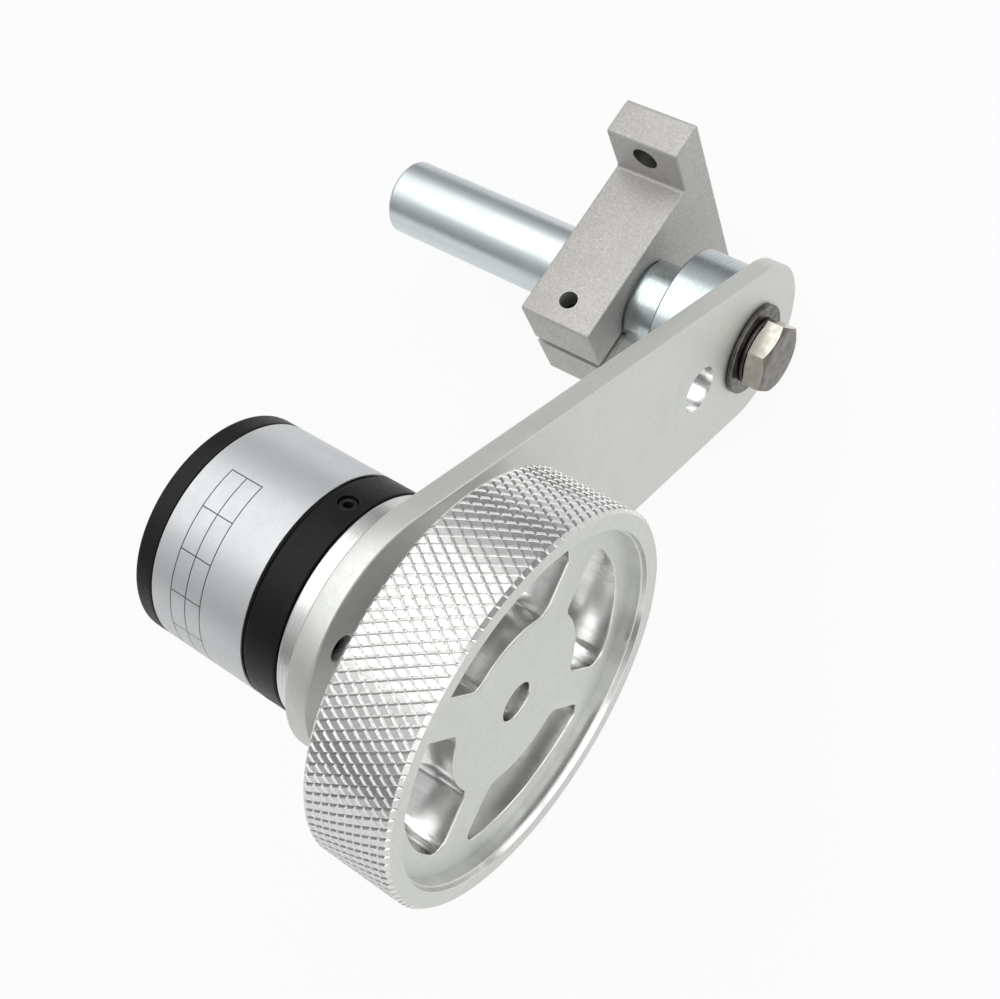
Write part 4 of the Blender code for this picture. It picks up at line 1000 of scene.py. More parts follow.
@dataclass(frozen=True)
class SocketScrew:
    """A screw with a hexagon socket: its head if any, its shank and its socket."""

    shank_radius: float
    length: float
    socket: float
    socket_depth: float
    head_radius: float = 0.0
    head_height: float = 0.0
    edge: float = 0.25 * MM
    columns: int = 72

    def shell(self, top: np.ndarray, outward: np.ndarray) -> Shell:
        """Return the screw's shell.

        Each ring is round or, in the socket, hexagonal: its radius is the half width across
        flats over the cosine of the angle from the nearest flat's middle.

        Args:
            top: Middle of the screw's outer face.
            outward: Direction in which that face looks.

        Returns:
            The shell.
        """
        angles = np.arange(self.columns) * TURN / self.columns
        ones = np.ones(self.columns)
        outer = max(self.head_radius, self.shank_radius)
        rings = [(ones * (self.shank_radius - self.edge), -self.length)]
        rings.append((ones * self.shank_radius, -self.length + self.edge))
        if self.head_radius:
            rings.append((ones * self.shank_radius, -self.head_height))
            rings.append((ones * (outer - self.edge), -self.head_height))
            rings.append((ones * outer, -self.head_height + self.edge))
        rings.append((ones * outer, -self.edge * 1.6))
        rings.append((ones * outer, -self.edge))
        rings.append((ones * (outer - 0.3 * self.edge), -self.edge * 0.3))
        rings.append((ones * (outer - self.edge), 0.0))
        rings.append((ones * (outer - self.edge * 1.4), 0.0))
        mouth = hexagon(angles, self.socket)
        rings.append((mouth + self.edge * 0.5, 0.0))
        rings.append((mouth, -self.edge * 0.5))
        rings.append((mouth, -self.socket_depth))
        rings.append((mouth * 0.2, -self.socket_depth - self.edge))
        radii = np.array([radius for radius, _ in rings])
        heights = np.array([height for _, height in rings])[:, None] * ones
        points, faces = ring_grid(radii, heights, angles, closed=False)
        return Shell(along(points, top, outward), faces)


# Sub-assemblies.


@dataclass
class MeasuringWheel:
    """Knurled wheel with a recessed web, four windows and a hub behind it."""

    circumference: float = 200.0 * MM
    front: float = -56.1 * MM
    rear: float = -41.1 * MM
    recess: float = 3.0 * MM
    rim_wall: float = 3.5 * MM
    centre_radius: float = 14.5 * MM
    ledge: float = 3.6 * MM
    spoke_width: float = 6.8 * MM
    window_corner: float = 2.2 * MM
    window_angle: float = math.radians(69.5)
    spokes: int = 4
    hub_radius: float = 8.0 * MM
    hub_length: float = 6.0 * MM
    bore: float = 3.15 * MM
    knurl_count: int = 114
    knurl_rows: int = 10
    knurl_share: float = 0.66
    knurl_depth: float = 0.34 * MM
    rim_chamfer: float = 0.55 * MM
    set_screw: SocketScrew = field(
        default_factory=lambda: SocketScrew(1.5 * MM, 4.0 * MM, 1.5 * MM, 1.6 * MM)
    )

    @property
    def radius(self) -> float:
        """Radius over the knurl."""
        return self.circumference / TURN

    @property
    def recess_radius(self) -> float:
        """Radius of the wall round the recessed web."""
        return self.radius - self.rim_wall

    def knurl(self) -> Shell:
        """Return the knurled band: rows of diamonds with flat tops between crossing grooves.

        The band is a lattice of half steps, i round the wheel and j across it. Groove
        crossings stand where i + j is even, below the radius by the depth; a diamond stands
        where i + j is odd, its flat top reaching the share of the half step to each side.
        A chamfer and an inner wall close the band.

        Returns:
            The shell.
        """
        steps, rows, share = 2 * self.knurl_count, self.knurl_rows, self.knurl_share
        start, end = self.front + self.rim_chamfer, self.rear - self.rim_chamfer
        pitch = (end - start) / rows
        low = self.radius - self.knurl_depth

        def place(i: np.ndarray, j: np.ndarray, radius: float) -> np.ndarray:
            """Return points at half steps i and j on a radius."""
            angle = i * TURN / steps
            return np.stack((radius * np.cos(angle), radius * np.sin(angle), start + j * pitch), axis=-1)

        i, j = np.meshgrid(np.arange(steps), np.arange(rows + 1), indexing="ij")
        crossing = (i + j) % 2 == 0
        number = np.full(i.shape, -1)
        number[crossing] = np.arange(crossing.sum())
        points = [place(i[crossing], j[crossing], low)]
        total = int(crossing.sum())
        tops = {}
        leans = {"W": (-share, 0.0), "E": (share, 0.0), "S": (0.0, -share), "N": (0.0, share)}
        for side, (di, dj) in leans.items():
            here = (i + j) % 2 == 1
            if side == "S":
                here &= j > 0
            if side == "N":
                here &= j < rows
            tops[side] = np.full(i.shape, -1)
            tops[side][here] = total + np.arange(here.sum())
            points.append(place(i[here] + di, j[here] + dj, self.radius))
            total += int(here.sum())
        inner = (i + j) % 2 == 1
        west, east = np.roll(number, 1, axis=0), np.roll(number, -1, axis=0)
        south, north = np.roll(number, 1, axis=1), np.roll(number, -1, axis=1)
        upper, lower = inner & (j < rows), inner & (j > 0)
        middle = upper & lower
        w, e, s, n = tops["W"], tops["E"], tops["S"], tops["N"]

        def gather(mask: np.ndarray, *corners: np.ndarray) -> list:
            """Return faces from corner numbers where a mask holds."""
            return np.stack([corner[mask] for corner in corners], axis=-1).tolist()

        faces = gather(upper, east, north, n, e) + gather(upper, north, west, w, n)
        faces += gather(lower, south, east, e, s) + gather(lower, west, south, s, w)
        faces += gather(middle, s, e, n, w)
        faces += gather(inner & (j == 0), w, e, n) + gather(inner & (j == rows), s, e, w)
        rims = []
        for row in (0, rows):
            even, odd = np.arange(0, steps, 2), np.arange(1, steps, 2)
            loop = np.stack((number[even, row], w[odd, row], e[odd, row]), axis=-1).ravel()
            spread = np.stack((even + 0.0, odd - share, odd + share), axis=-1).ravel()
            rims.append((loop, spread))
        columns = 3 * self.knurl_count
        chains = [rims[0][0]]
        depth = self.radius - self.rim_chamfer
        inside = depth - 0.6 * MM
        spread = rims[0][1]
        for radius, level in (
            (depth, self.front), (inside, self.front), (inside, self.rear), (depth, self.rear),
        ):
            points.append(place(spread, np.full(columns, (level - start) / pitch), radius))
            chains.append(total + np.arange(columns))
            total += columns
        chains.append(rims[1][0])
        slots = np.zeros(len(faces), int)
        for first, second in zip(chains[:-1], chains[1:]):
            faces += np.stack((first, second, np.roll(second, -1), np.roll(first, -1)), axis=-1).tolist()
        sides = np.repeat([0, 1, 1, 1, 0], columns)
        return Shell(along_y(np.concatenate(points), WHEEL_AXIS), faces, np.concatenate((slots, sides)))

    def window(self) -> np.ndarray:
        """Return one window's outline, its middle on +X.

        Two arcs about the wheel's centre and two lines along the spokes bound it. A corner
        circle of radius c touches an arc of radius R and a spoke line, so its centre stands at
        R - c (outer) or R + c (inner) and at half the spoke's width plus c from its middle.

        Returns:
            The outline's points.
        """
        c, half = self.window_corner, self.spoke_width / 2
        outer, inner = self.recess_radius - self.ledge, self.centre_radius
        spoke = math.pi / self.spokes
        outer_lean = math.asin((half + c) / (outer - c))
        inner_lean = math.asin((half + c) / (inner + c))
        high, low = spoke - outer_lean, spoke - inner_lean
        far = ((outer - c) * math.cos(high), (outer - c) * math.sin(high))
        near = ((inner + c) * math.cos(low), (inner + c) * math.sin(low))
        upper = np.concatenate((
            arc((0.0, 0.0), outer, 0.0, high, 16)[:-1],
            arc(far, c, high, spoke + math.pi / 2, 12),
            arc(near, c, spoke + math.pi / 2, low + math.pi, 12),
            arc((0.0, 0.0), inner, low, 0.0, 12)[1:],
        ))
        lower = upper[::-1][1:-1] * np.array([1.0, -1.0])
        return np.concatenate((upper, lower))

    def web(self) -> Shell:
        """Return the recessed web with its windows and bore.

        Returns:
            The shell.
        """
        outlines = [circle((0.0, 0.0), self.recess_radius + 0.5 * MM, 256)]
        outlines.append(circle((0.0, 0.0), self.bore, 64))
        outline = self.window()
        for number in range(self.spokes):
            angle = self.window_angle + TURN * number / self.spokes
            turn = np.array([[math.cos(angle), math.sin(angle)], [-math.sin(angle), math.cos(angle)]])
            outlines.append(outline @ turn)
        front, rear = self.front + self.recess, self.rear - self.recess
        points, faces = plate(outlines, rear - front, 0.35 * MM)
        middle = np.array([0.0, 0.0, (front + rear) / 2])
        return Shell(along_y(points + middle, WHEEL_AXIS), faces)

    def rim(self, workshop: "Workshop") -> Shell:
        """Return the rim under the knurl, with a stepped edge round the recess.

        Args:
            workshop: Maker of the pieces.

        Returns:
            The shell.
        """
        wall, lip = self.recess_radius, 0.45 * MM
        outside = self.radius - self.rim_chamfer - 0.30 * MM
        front, rear = self.front + 0.005 * MM, self.rear - 0.005 * MM
        profile = [
            (wall, front + 2 * lip),
            (wall + 0.5 * lip, front + 2 * lip),
            (wall + lip, front),
            (outside, front),
            (outside, rear),
            (wall + lip, rear),
            (wall, rear - lip),
        ]
        return workshop.lathe(profile, WHEEL_AXIS, 0.12 * MM, 256)

    def hub(self, workshop: "Workshop") -> Shell:
        """Return the hub behind the web.

        Args:
            workshop: Maker of the pieces.

        Returns:
            The shell.
        """
        start, end = self.rear - self.recess - 1.0 * MM, self.rear + self.hub_length
        profile = [
            (self.bore, start), (self.hub_radius, start), (self.hub_radius, end - 0.5 * MM),
            (self.hub_radius - 0.5 * MM, end), (self.bore + 0.3 * MM, end), (self.bore, end - 0.3 * MM),
        ]
        return workshop.lathe(profile, WHEEL_AXIS, 0.1 * MM, 128)

    def shaft(self) -> Shell:
        """Return the encoder's shaft: round, but flat on top for the wheel's set screws.

        Where the flat lies, the radius is the smaller of the shaft's and of the flat's height
        over the sine of the angle.

        Returns:
            The shell.
        """
        radius, flat, chamfer = 3.0 * MM, 2.5 * MM, 0.4 * MM
        front, rear = self.front + self.recess + 3.0 * MM, -6.1 * MM
        step = self.rear + self.hub_length
        angles = np.arange(96) * TURN / 96
        ones = np.ones(96)
        cut = np.minimum(radius, flat / np.maximum(np.sin(angles), 0.2))
        tip = np.minimum(radius - chamfer, flat / np.maximum(np.sin(angles), 0.2))
        radii = np.stack((tip * 0.25, tip, cut, cut, ones * radius, ones * radius, ones * (radius - chamfer)))
        places = np.array([
            front + 0.6 * MM, front, front + chamfer, step, step + 0.01 * MM, rear - chamfer, rear,
        ])
        points, faces = ring_grid(radii, places[:, None] * ones, angles, closed=False)
        return Shell(along_y(points, WHEEL_AXIS), faces)

    def build(self, workshop: "Workshop") -> None:
        """Build and dress the wheel.

        Args:
            workshop: Maker of the pieces.
        """
        wheel, dress = ("measuring_wheel",), [BLASTED_FACE, TURNED_WALL]
        workshop.piece(
            "wheel_knurl", [self.knurl()], [KNURLED_BAND, BLASTED_FACE], Body.WHEEL, wheel, smooth=False,
        )
        web = workshop.piece("wheel_web", [by_wall(self.web())], dress, Body.WHEEL, wheel, crease=50.0)
        sharpen_caps(web.data, 1)
        rim = by_wall(self.rim(workshop))
        workshop.piece("wheel_rim", [rim], dress, Body.WHEEL, wheel)
        hub = workshop.piece("wheel_hub", [by_wall(self.hub(workshop))], dress, Body.WHEEL, wheel)
        middle = WHEEL_AXIS + np.array([0.0, self.rear + self.hub_length / 2, 0.0])
        holes = []
        for number, angle in enumerate((math.pi / 2, math.pi)):
            outward = np.array([math.cos(angle), 0.0, math.sin(angle)])
            mouth = middle + outward * 2 * self.hub_radius
            holes.append(drill(middle, mouth, self.set_screw.shank_radius + 0.1 * MM))
            screw = self.set_screw.shell(middle + outward * 7.3 * MM, outward)
            node = (f"wheel_set_screw_{number + 1}",)
            workshop.piece(f"hub_screw_{number + 1}", [screw], [DARK_STEEL], Body.WHEEL, node)
        # The set screw holes' walls get the darkened hole finish: painted shade inside them.
        workshop.carve(hub, holes, HOLE_WALL_PAINTED_SHADE)
        workshop.piece("shaft", [self.shaft()], [GROUND_STEEL], Body.WHEEL, ("encoder_shaft",))


def by_wall(shell: Shell) -> Shell:
    """Give a shell's faces material 1 where they stand along Y, and 0 where they look along it.

    Args:
        shell: The shell to sort.

    Returns:
        The same shell, with its faces sorted.
    """
    shell.outward()
    corners = np.array([[face[0], face[1], face[2]] for face in shell.faces])
    a, b, c = (shell.points[corners[:, k]] for k in range(3))
    normals = np.cross(b - a, c - a)
    length = np.linalg.norm(normals, axis=1)
    shell.slots = (np.abs(normals[:, 1]) < 0.8 * np.maximum(length, 1e-18)).astype(int)
    return shell


@dataclass
class SprungArm:
    """Flat arm plate between the pivot and the encoder."""

    front: float = -32.3 * MM
    rear: float = -28.3 * MM
    encoder_end: float = 21.5 * MM
    pivot_end: float = 17.0 * MM
    spigot_bore: float = 10.2 * MM
    bush_bore: float = 7.2 * MM
    spare_hole: float = 4.7 * MM
    spare_place: float = 19.3 * MM
    screw_circle: float = 15.8 * MM
    screw_angle: float = math.radians(-28.0)
    screw_count: int = 3
    edge: float = 0.32 * MM
    screw: SocketScrew = field(
        default_factory=lambda: SocketScrew(1.5 * MM, 5.0 * MM, 2.0 * MM, 1.2 * MM, 1.9 * MM, 1.5 * MM)
    )
    screw_depth: float = 1.2 * MM

    def outline(self) -> np.ndarray:
        """Return the arm's outline: two arcs joined by the straight lines that touch both.

        Both lines leave the arcs at the angle asin((R - r) / length) past square.

        Returns:
            The outline's points, from the pivot along +X.
        """
        side = math.pi / 2 + math.asin((self.encoder_end - self.pivot_end) / ARM_LENGTH)
        return np.concatenate((
            arc((ARM_LENGTH, 0.0), self.encoder_end, -side, side, 128),
            arc((0.0, 0.0), self.pivot_end, side, TURN - side, 96),
        ))

    def place(self, points: np.ndarray) -> np.ndarray:
        """Lay outline points (along the arm, across it, through it) in the arm's plane.

        Args:
            points: Points along the arm, across it and through it.

        Returns:
            The points in the arm's plane.
        """
        lengthwise = np.array([-math.cos(RISE), 0.0, math.sin(RISE)])
        across = np.array([-math.sin(RISE), 0.0, -math.cos(RISE)])
        middle = np.array([0.0, (self.front + self.rear) / 2, 0.0])
        through = np.array([0.0, 1.0, 0.0])
        return PIVOT + middle + points[:, :1] * lengthwise + points[:, 1:2] * across + points[:, 2:] * through

    def screw_places(self) -> np.ndarray:
        """Return the outline places of the encoder's mounting screws."""
        angles = self.screw_angle + TURN * np.arange(self.screw_count) / self.screw_count
        lengthwise = ARM_LENGTH + self.screw_circle * np.cos(angles)
        return np.stack((lengthwise, self.screw_circle * np.sin(angles)), axis=-1)

    def build(self, workshop: Workshop) -> None:
        """Build and dress the arm and its screws.

        Args:
            workshop: Maker of the pieces.
        """
        holes = [
            circle((ARM_LENGTH, 0.0), self.spigot_bore),
            circle((0.0, 0.0), self.bush_bore),
        ]
        holes += [circle(tuple(spot), self.screw.head_radius + 0.2 * MM, 40) for spot in self.screw_places()]
        points, faces = plate([self.outline(), *holes], self.rear - self.front, self.edge)
        shell = Shell(self.place(points), faces)
        arm = workshop.piece("sprung_arm", [shell], [ARM_FACE], Body.ARM, ("arm_plate",), crease=50.0)
        thick = self.rear - self.front
        ends = self.place(np.array([[self.spare_place, 0.0, -thick], [self.spare_place, 0.0, thick]]))
        workshop.carve(arm, [drill(ends[0], ends[1], self.spare_hole, 80)], TURNED_WALL, crease=50.0)
        sharpen_caps(arm.data, 1)
        for number, spot in enumerate(self.screw_places()):
            top = self.place(np.array([[*spot, 0.0]]))[0]
            top[1] = self.front + self.screw_depth
            screw = self.screw.shell(top, np.array([0.0, -1.0, 0.0]))
            node = (f"mount_screw_{number + 1}",)
            workshop.piece(f"arm_screw_{number + 1}", [screw], [BLACKENED_SCREW], Body.ARM, node)


@dataclass
class Encoder:
    """Encoder body with its adapter, cover, label and cable gland."""

    radius: float = 19.0 * MM
    adapter: tuple[float, float] = (-28.0 * MM, -24.3 * MM)
    band: tuple[float, float] = (-24.0 * MM, -17.9 * MM)
    cover: tuple[float, float] = (-17.6 * MM, 4.6 * MM)
    label: tuple[float, float] = (-17.3 * MM, 1.0 * MM)
    spigot_radius: float = 10.0 * MM
    spigot_front: float = -31.3 * MM
    bore: float = 3.6 * MM
    side_angle: float = math.radians(57.0)
    side_count: int = 3
    gland_angle: float = math.radians(-75.0)
    gland_radius: float = 4.0 * MM
    collar_radius: float = 5.5 * MM
    side_screw: SocketScrew = field(
        default_factory=lambda: SocketScrew(1.5 * MM, 2.7 * MM, 1.5 * MM, 1.5 * MM)
    )

    def build(self, workshop: Workshop, dresser: "LabelDresser") -> None:
        """Build and dress the encoder.

        Args:
            workshop: Maker of the pieces.
            dresser: Maker of the label's ruled film.
        """
        front, rear = self.adapter
        ring = workshop.lathe([
            (self.bore, self.spigot_front), (self.spigot_radius, self.spigot_front),
            (self.spigot_radius, front), (self.radius, front), (self.radius, rear), (self.bore, rear),
        ], WHEEL_AXIS, 0.35 * MM, 256)
        workshop.piece("adapter_ring", [ring], [ADAPTER_RING], Body.ARM, ("encoder_adapter",))
        self.build_band(workshop)
        self.build_cover(workshop)
        self.build_label(workshop, dresser)
        self.build_gland(workshop)

    def build_band(self, workshop: Workshop) -> None:
        """Build the black front body and its side screws.

        Args:
            workshop: Maker of the pieces.
        """
        front, rear = self.band
        neck, seat, shaft_bore = 9.4 * MM, 7.8 * MM, 4.5 * MM
        body = workshop.lathe([
            (shaft_bore, front), (self.radius, front), (self.radius, rear), (neck, rear),
            (neck, -9.2 * MM), (seat, -9.2 * MM), (seat, front + 1.0 * MM), (shaft_bore, front + 1.0 * MM),
        ], WHEEL_AXIS, 0.4 * MM, 256)
        item = workshop.piece("encoder_front", [body], [BLACK_ANODISE], Body.ARM, ("encoder_body",))
        middle = WHEEL_AXIS + np.array([0.0, (front + rear) / 2, 0.0])
        holes = []
        for number in range(self.side_count):
            angle = self.side_angle + TURN * number / self.side_count
            outward = np.array([math.cos(angle), 0.0, math.sin(angle)])
            floor, mouth = self.radius - 3.3 * MM, self.radius + 1.0 * MM
            reach = self.side_screw.shank_radius + 0.15 * MM
            holes.append(drill(middle + outward * floor, middle + outward * mouth, reach))
            screw = self.side_screw.shell(middle + outward * (self.radius - 0.35 * MM), outward)
            node = (f"side_screw_{number + 1}",)
            workshop.piece(f"band_screw_{number + 1}", [screw], [BLACKENED_SCREW], Body.ARM, node)
        workshop.carve(item, holes, BLACK_ANODISE)

    def build_cover(self, workshop: Workshop) -> None:
        """Build the cup-shaped cover, turned down under the label."""
        front, rear = self.cover
        shell = self.cup(front, rear, self.radius - 0.5 * MM, self.radius - 2.1 * MM)
        workshop.piece("encoder_cap", [shell], [BLACK_PLASTIC], Body.ARM, ("encoder_cover",))

    def cup(self, front: float, rear: float, floor: float, inside: float) -> Shell:
        """Return the cover's shell, from the middle of its inner end round to its outer end.

        Args:
            front: Place of its open end.
            rear: Place of its closed end.
            floor: Radius under the label.
            inside: Inner radius.

        Returns:
            The shell.
        """
        step = self.label[1] + 0.3 * MM
        points, faces = turned([
            (0.0, rear - 1.6 * MM), (inside, rear - 1.6 * MM), (inside, front), (floor, front), (floor, step),
            (self.radius, step), (self.radius, rear), (12.0 * MM, rear), (11.6 * MM, rear - 0.25 * MM),
            (0.0, rear - 0.25 * MM),
        ], 0.5 * MM, 256)
        return Shell(along_y(points, WHEEL_AXIS), faces)

    def build_label(self, workshop: Workshop, dresser: "LabelDresser") -> None:
        """Build the wrap-round label, with a UV map in metres round it and along it.

        Args:
            workshop: Maker of the pieces.
            dresser: Maker of the label's ruled film.
        """
        front, rear = self.label
        under = self.radius - 0.3 * MM
        shell = workshop.lathe([
            (under, front), (self.radius, front), (self.radius, rear), (under, rear),
        ], WHEEL_AXIS, 0.05 * MM, 256)
        item = workshop.piece("label", [shell], [LABEL_FILM], Body.ARM, ("rating_label",))
        mesh = item.data
        corners = np.empty(len(mesh.loops), int)
        mesh.loops.foreach_get("vertex_index", corners)
        column = np.tile(np.arange(256), len(mesh.polygons) // 256)
        steps = np.stack((column, column + 1, column + 1, column), axis=-1).ravel()
        around = steps * TURN / 256 * self.radius
        lengthwise = shell.points[corners][:, 1]
        layer = mesh.uv_layers.new(name="metres")
        layer.data.foreach_set("uv", np.stack((around, lengthwise), axis=-1).ravel())
        mesh.materials[0] = dresser.material()

    def build_gland(self, workshop: Workshop) -> None:
        """Build the ribbed strain relief on the hidden side.

        Args:
            workshop: Maker of the pieces.
        """
        outward = np.array([math.cos(self.gland_angle), 0.0, math.sin(self.gland_angle)])
        origin = WHEEL_AXIS + np.array([0.0, sum(self.label) / 2, 0.0])
        start, collar, tip = 18.7 * MM, 21.7 * MM, 27.7 * MM
        profile = [(2.4 * MM, 16.6 * MM), (self.gland_radius, 16.6 * MM), (self.gland_radius, start)]
        profile += [(self.collar_radius, start), (self.collar_radius, collar)]
        step = (tip - collar) / 6
        for number in range(3):
            groove, rib = collar + 2 * number * step, self.gland_radius - 0.18 * MM * number
            low = rib - 0.7 * MM
            profile += [(low, groove), (low, groove + step), (rib, groove + step), (rib, groove + 2 * step)]
        profile.append((2.4 * MM, tip))
        points, faces = turned(profile, 0.35 * MM, 96)
        gland = Shell(along(points, origin, outward), faces)
        workshop.piece("gland", [gland], [BLACK_PLASTIC], Body.ARM, ("cable_gland",))


@dataclass
class Pivot:
    """Rod, spring housing, washers and bolt on the pivot's axis."""

    rod_radius: float = 8.0 * MM
    rod_rear: float = 53.6 * MM
    journal_radius: float = 5.5 * MM
    journal_front: float = -32.45 * MM
    shoulder: float = -25.7 * MM
    housing_radius: float = 14.5 * MM
    housing: tuple[float, float] = (-28.0 * MM, -17.0 * MM)
    neck_radius: float = 8.9 * MM
    neck_rear: float = -8.3 * MM
    washer_radius: float = 9.3 * MM
    washer: tuple[float, float] = (-33.5 * MM, -32.6 * MM)
    lock_radius: float = 6.7 * MM
    lock: tuple[float, float] = (-34.35 * MM, -33.65 * MM)
    head: tuple[float, float] = (-38.8 * MM, -34.5 * MM)
    across_flats: float = 13.0 * MM
    face_radius: float = 6.15 * MM
    cone_slope: float = 1.75
    hexagon_turn: float = math.radians(30.0)
    bolt_radius: float = 4.0 * MM
    bolt_rear: float = -18.5 * MM

    def build(self, workshop: Workshop) -> None:
        """Build and dress the pivot.

        Args:
            workshop: Maker of the pieces.
        """
        hole = self.bolt_radius + 0.3 * MM
        rod = workshop.lathe([
            (0.0, self.bolt_rear + 0.3 * MM), (hole, self.bolt_rear + 0.3 * MM), (hole, self.journal_front),
            (self.journal_radius, self.journal_front), (self.journal_radius, self.shoulder),
            (self.rod_radius, self.shoulder), (self.rod_radius, self.rod_rear - 0.8 * MM),
            (self.rod_radius - 0.8 * MM, self.rod_rear), (0.0, self.rod_rear),
        ], PIVOT, 0.2 * MM, 192)
        workshop.piece("slide_rod", [by_wall(rod)], [ZINC, ZINC_ROD], Body.ROD, ("pivot_rod",))
        workshop.piece("spring_case", [self.case(workshop)], [ZINC], Body.ROD, ("spring_housing",))
        front, rear = self.washer
        bore = self.bolt_radius + 0.3 * MM
        washer = workshop.lathe([
            (bore, front), (self.washer_radius, front), (self.washer_radius, rear), (bore, rear),
        ], PIVOT, 0.25 * MM, 160)
        workshop.piece("washer", [washer], [STAINED_NICKEL], Body.ROD, ("flat_washer",))
        # The split washer is a real part of dark steel, and its dark colour also serves as painted shade under
        # the bolt head.
        workshop.piece("split_washer", [self.split_washer()], [DARK_STEEL], Body.ROD, ("lock_washer",))
        # Faces of the head and shank that look along the axis get the darkened nickel as painted shade; the
        # sides get plain nickel.
        shells = [by_wall(self.bolt_head()), by_wall(self.shank(workshop))]
        workshop.piece("bolt", shells, [NICKEL_FACE_PAINTED_SHADE, NICKEL], Body.ROD, ("pivot_bolt",), crease=20.0)

    def case(self, workshop: Workshop) -> Shell:
        """Return the spring housing with its neck, hollow round the spring.

        Args:
            workshop: Maker of the pieces.

        Returns:
            The shell.
        """
        front, rear = self.housing
        cavity, wall, bore = self.housing_radius - 2.0 * MM, 2.0 * MM, self.rod_radius + 0.25 * MM
        return workshop.lathe([
            (bore, rear - wall), (cavity, rear - wall), (cavity, front + wall),
            (self.journal_radius + 0.3 * MM, front + wall), (self.journal_radius + 0.3 * MM, front),
            (self.housing_radius, front), (self.housing_radius, rear), (self.neck_radius, rear),
            (self.neck_radius, self.neck_rear - 0.5 * MM), (self.neck_radius - 0.5 * MM, self.neck_rear),
            (bore, self.neck_rear),
        ], PIVOT, 0.45 * MM, 224)

    def split_washer(self) -> Shell:
        """Return the split lock washer: a square section carried round most of a turn.

        The section's height rises with the angle, so that its two cut ends stand apart.

        Returns:
            The shell.
        """
        front, rear = self.lock
        half, rise, columns = 0.45 * (rear - front), 0.05 * (rear - front), 128
        section = soften([
            (self.bolt_radius + 0.35 * MM, -half), (self.lock_radius, -half),
            (self.lock_radius, half), (self.bolt_radius + 0.35 * MM, half),
        ], 0.12 * MM, 2)
        gap = 0.10
        angles = np.linspace(gap, TURN - gap, columns)[:, None]
        radius, height = section[None, :, 0], section[None, :, 1]
        lift = (front + rear) / 2 + rise * (angles - math.pi) / math.pi
        points = np.stack((radius * np.cos(angles), radius * np.sin(angles), height + lift), axis=-1)
        points = points.reshape(-1, 3)
        count = len(section)
        row, column = np.arange(columns - 1)[:, None], np.arange(count)[None, :]
        beside = (column + 1) % count
        faces = np.stack((
            row * count + column, row * count + beside,
            (row + 1) * count + beside, (row + 1) * count + column,
        ), axis=-1).reshape(-1, 4).tolist()
        faces.append(list(range(count))[::-1])
        faces.append(list(range((columns - 1) * count, columns * count)))
        return Shell(along_y(points, PIVOT), faces)

    def bolt_head(self) -> Shell:
        """Return the hexagon head, its corners cut by a cone.

        At an angle the side stands at the hexagon's radius H. The cone's radius grows from the
        face's by the slope per depth, so it meets the side at the depth (H - face) / slope.

        Returns:
            The shell.
        """
        front, rear = self.head
        angles = np.arange(240) * TURN / 240
        ones = np.ones(240)
        side = hexagon(angles + self.hexagon_turn, self.across_flats)
        meet = front + (side - self.face_radius) / self.cone_slope
        foot = np.minimum(side, 6.4 * MM)
        rings = [
            (foot * 0.5, ones * rear), (foot * 0.96, ones * rear), (foot, ones * (rear - 0.05 * MM)),
            (foot, ones * (rear - 0.28 * MM)), (side, ones * (rear - 0.30 * MM)),
            (side, ones * (rear - 0.6 * MM)), (side, meet + 0.25 * MM), (side, meet),
            (side * 0.5 + ones * self.face_radius * 0.5, (meet + front) / 2),
            (ones * (self.face_radius + 0.03 * MM), ones * (front + 0.02 * MM)),
            (ones * (self.face_radius - 0.12 * MM), ones * front),
            (ones * (self.face_radius - 0.5 * MM), ones * front),
            (ones * 2.0 * MM, ones * front),
        ]
        radii = np.array([radius for radius, _ in rings])
        heights = np.array([height for _, height in rings])
        points, faces = ring_grid(radii, heights, angles, closed=False)
        return Shell(along_y(points, PIVOT), faces)

    def shank(self, workshop: Workshop) -> Shell:
        """Return the bolt's shank.

        Args:
            workshop: Maker of the pieces.

        Returns:
            The shell.
        """
        start = self.head[1] - 0.5 * MM
        return workshop.lathe([
            (0.0, start), (self.bolt_radius, start),
            (self.bolt_radius, self.bolt_rear), (0.0, self.bolt_rear),
        ], PIVOT, 0.3 * MM, 64)


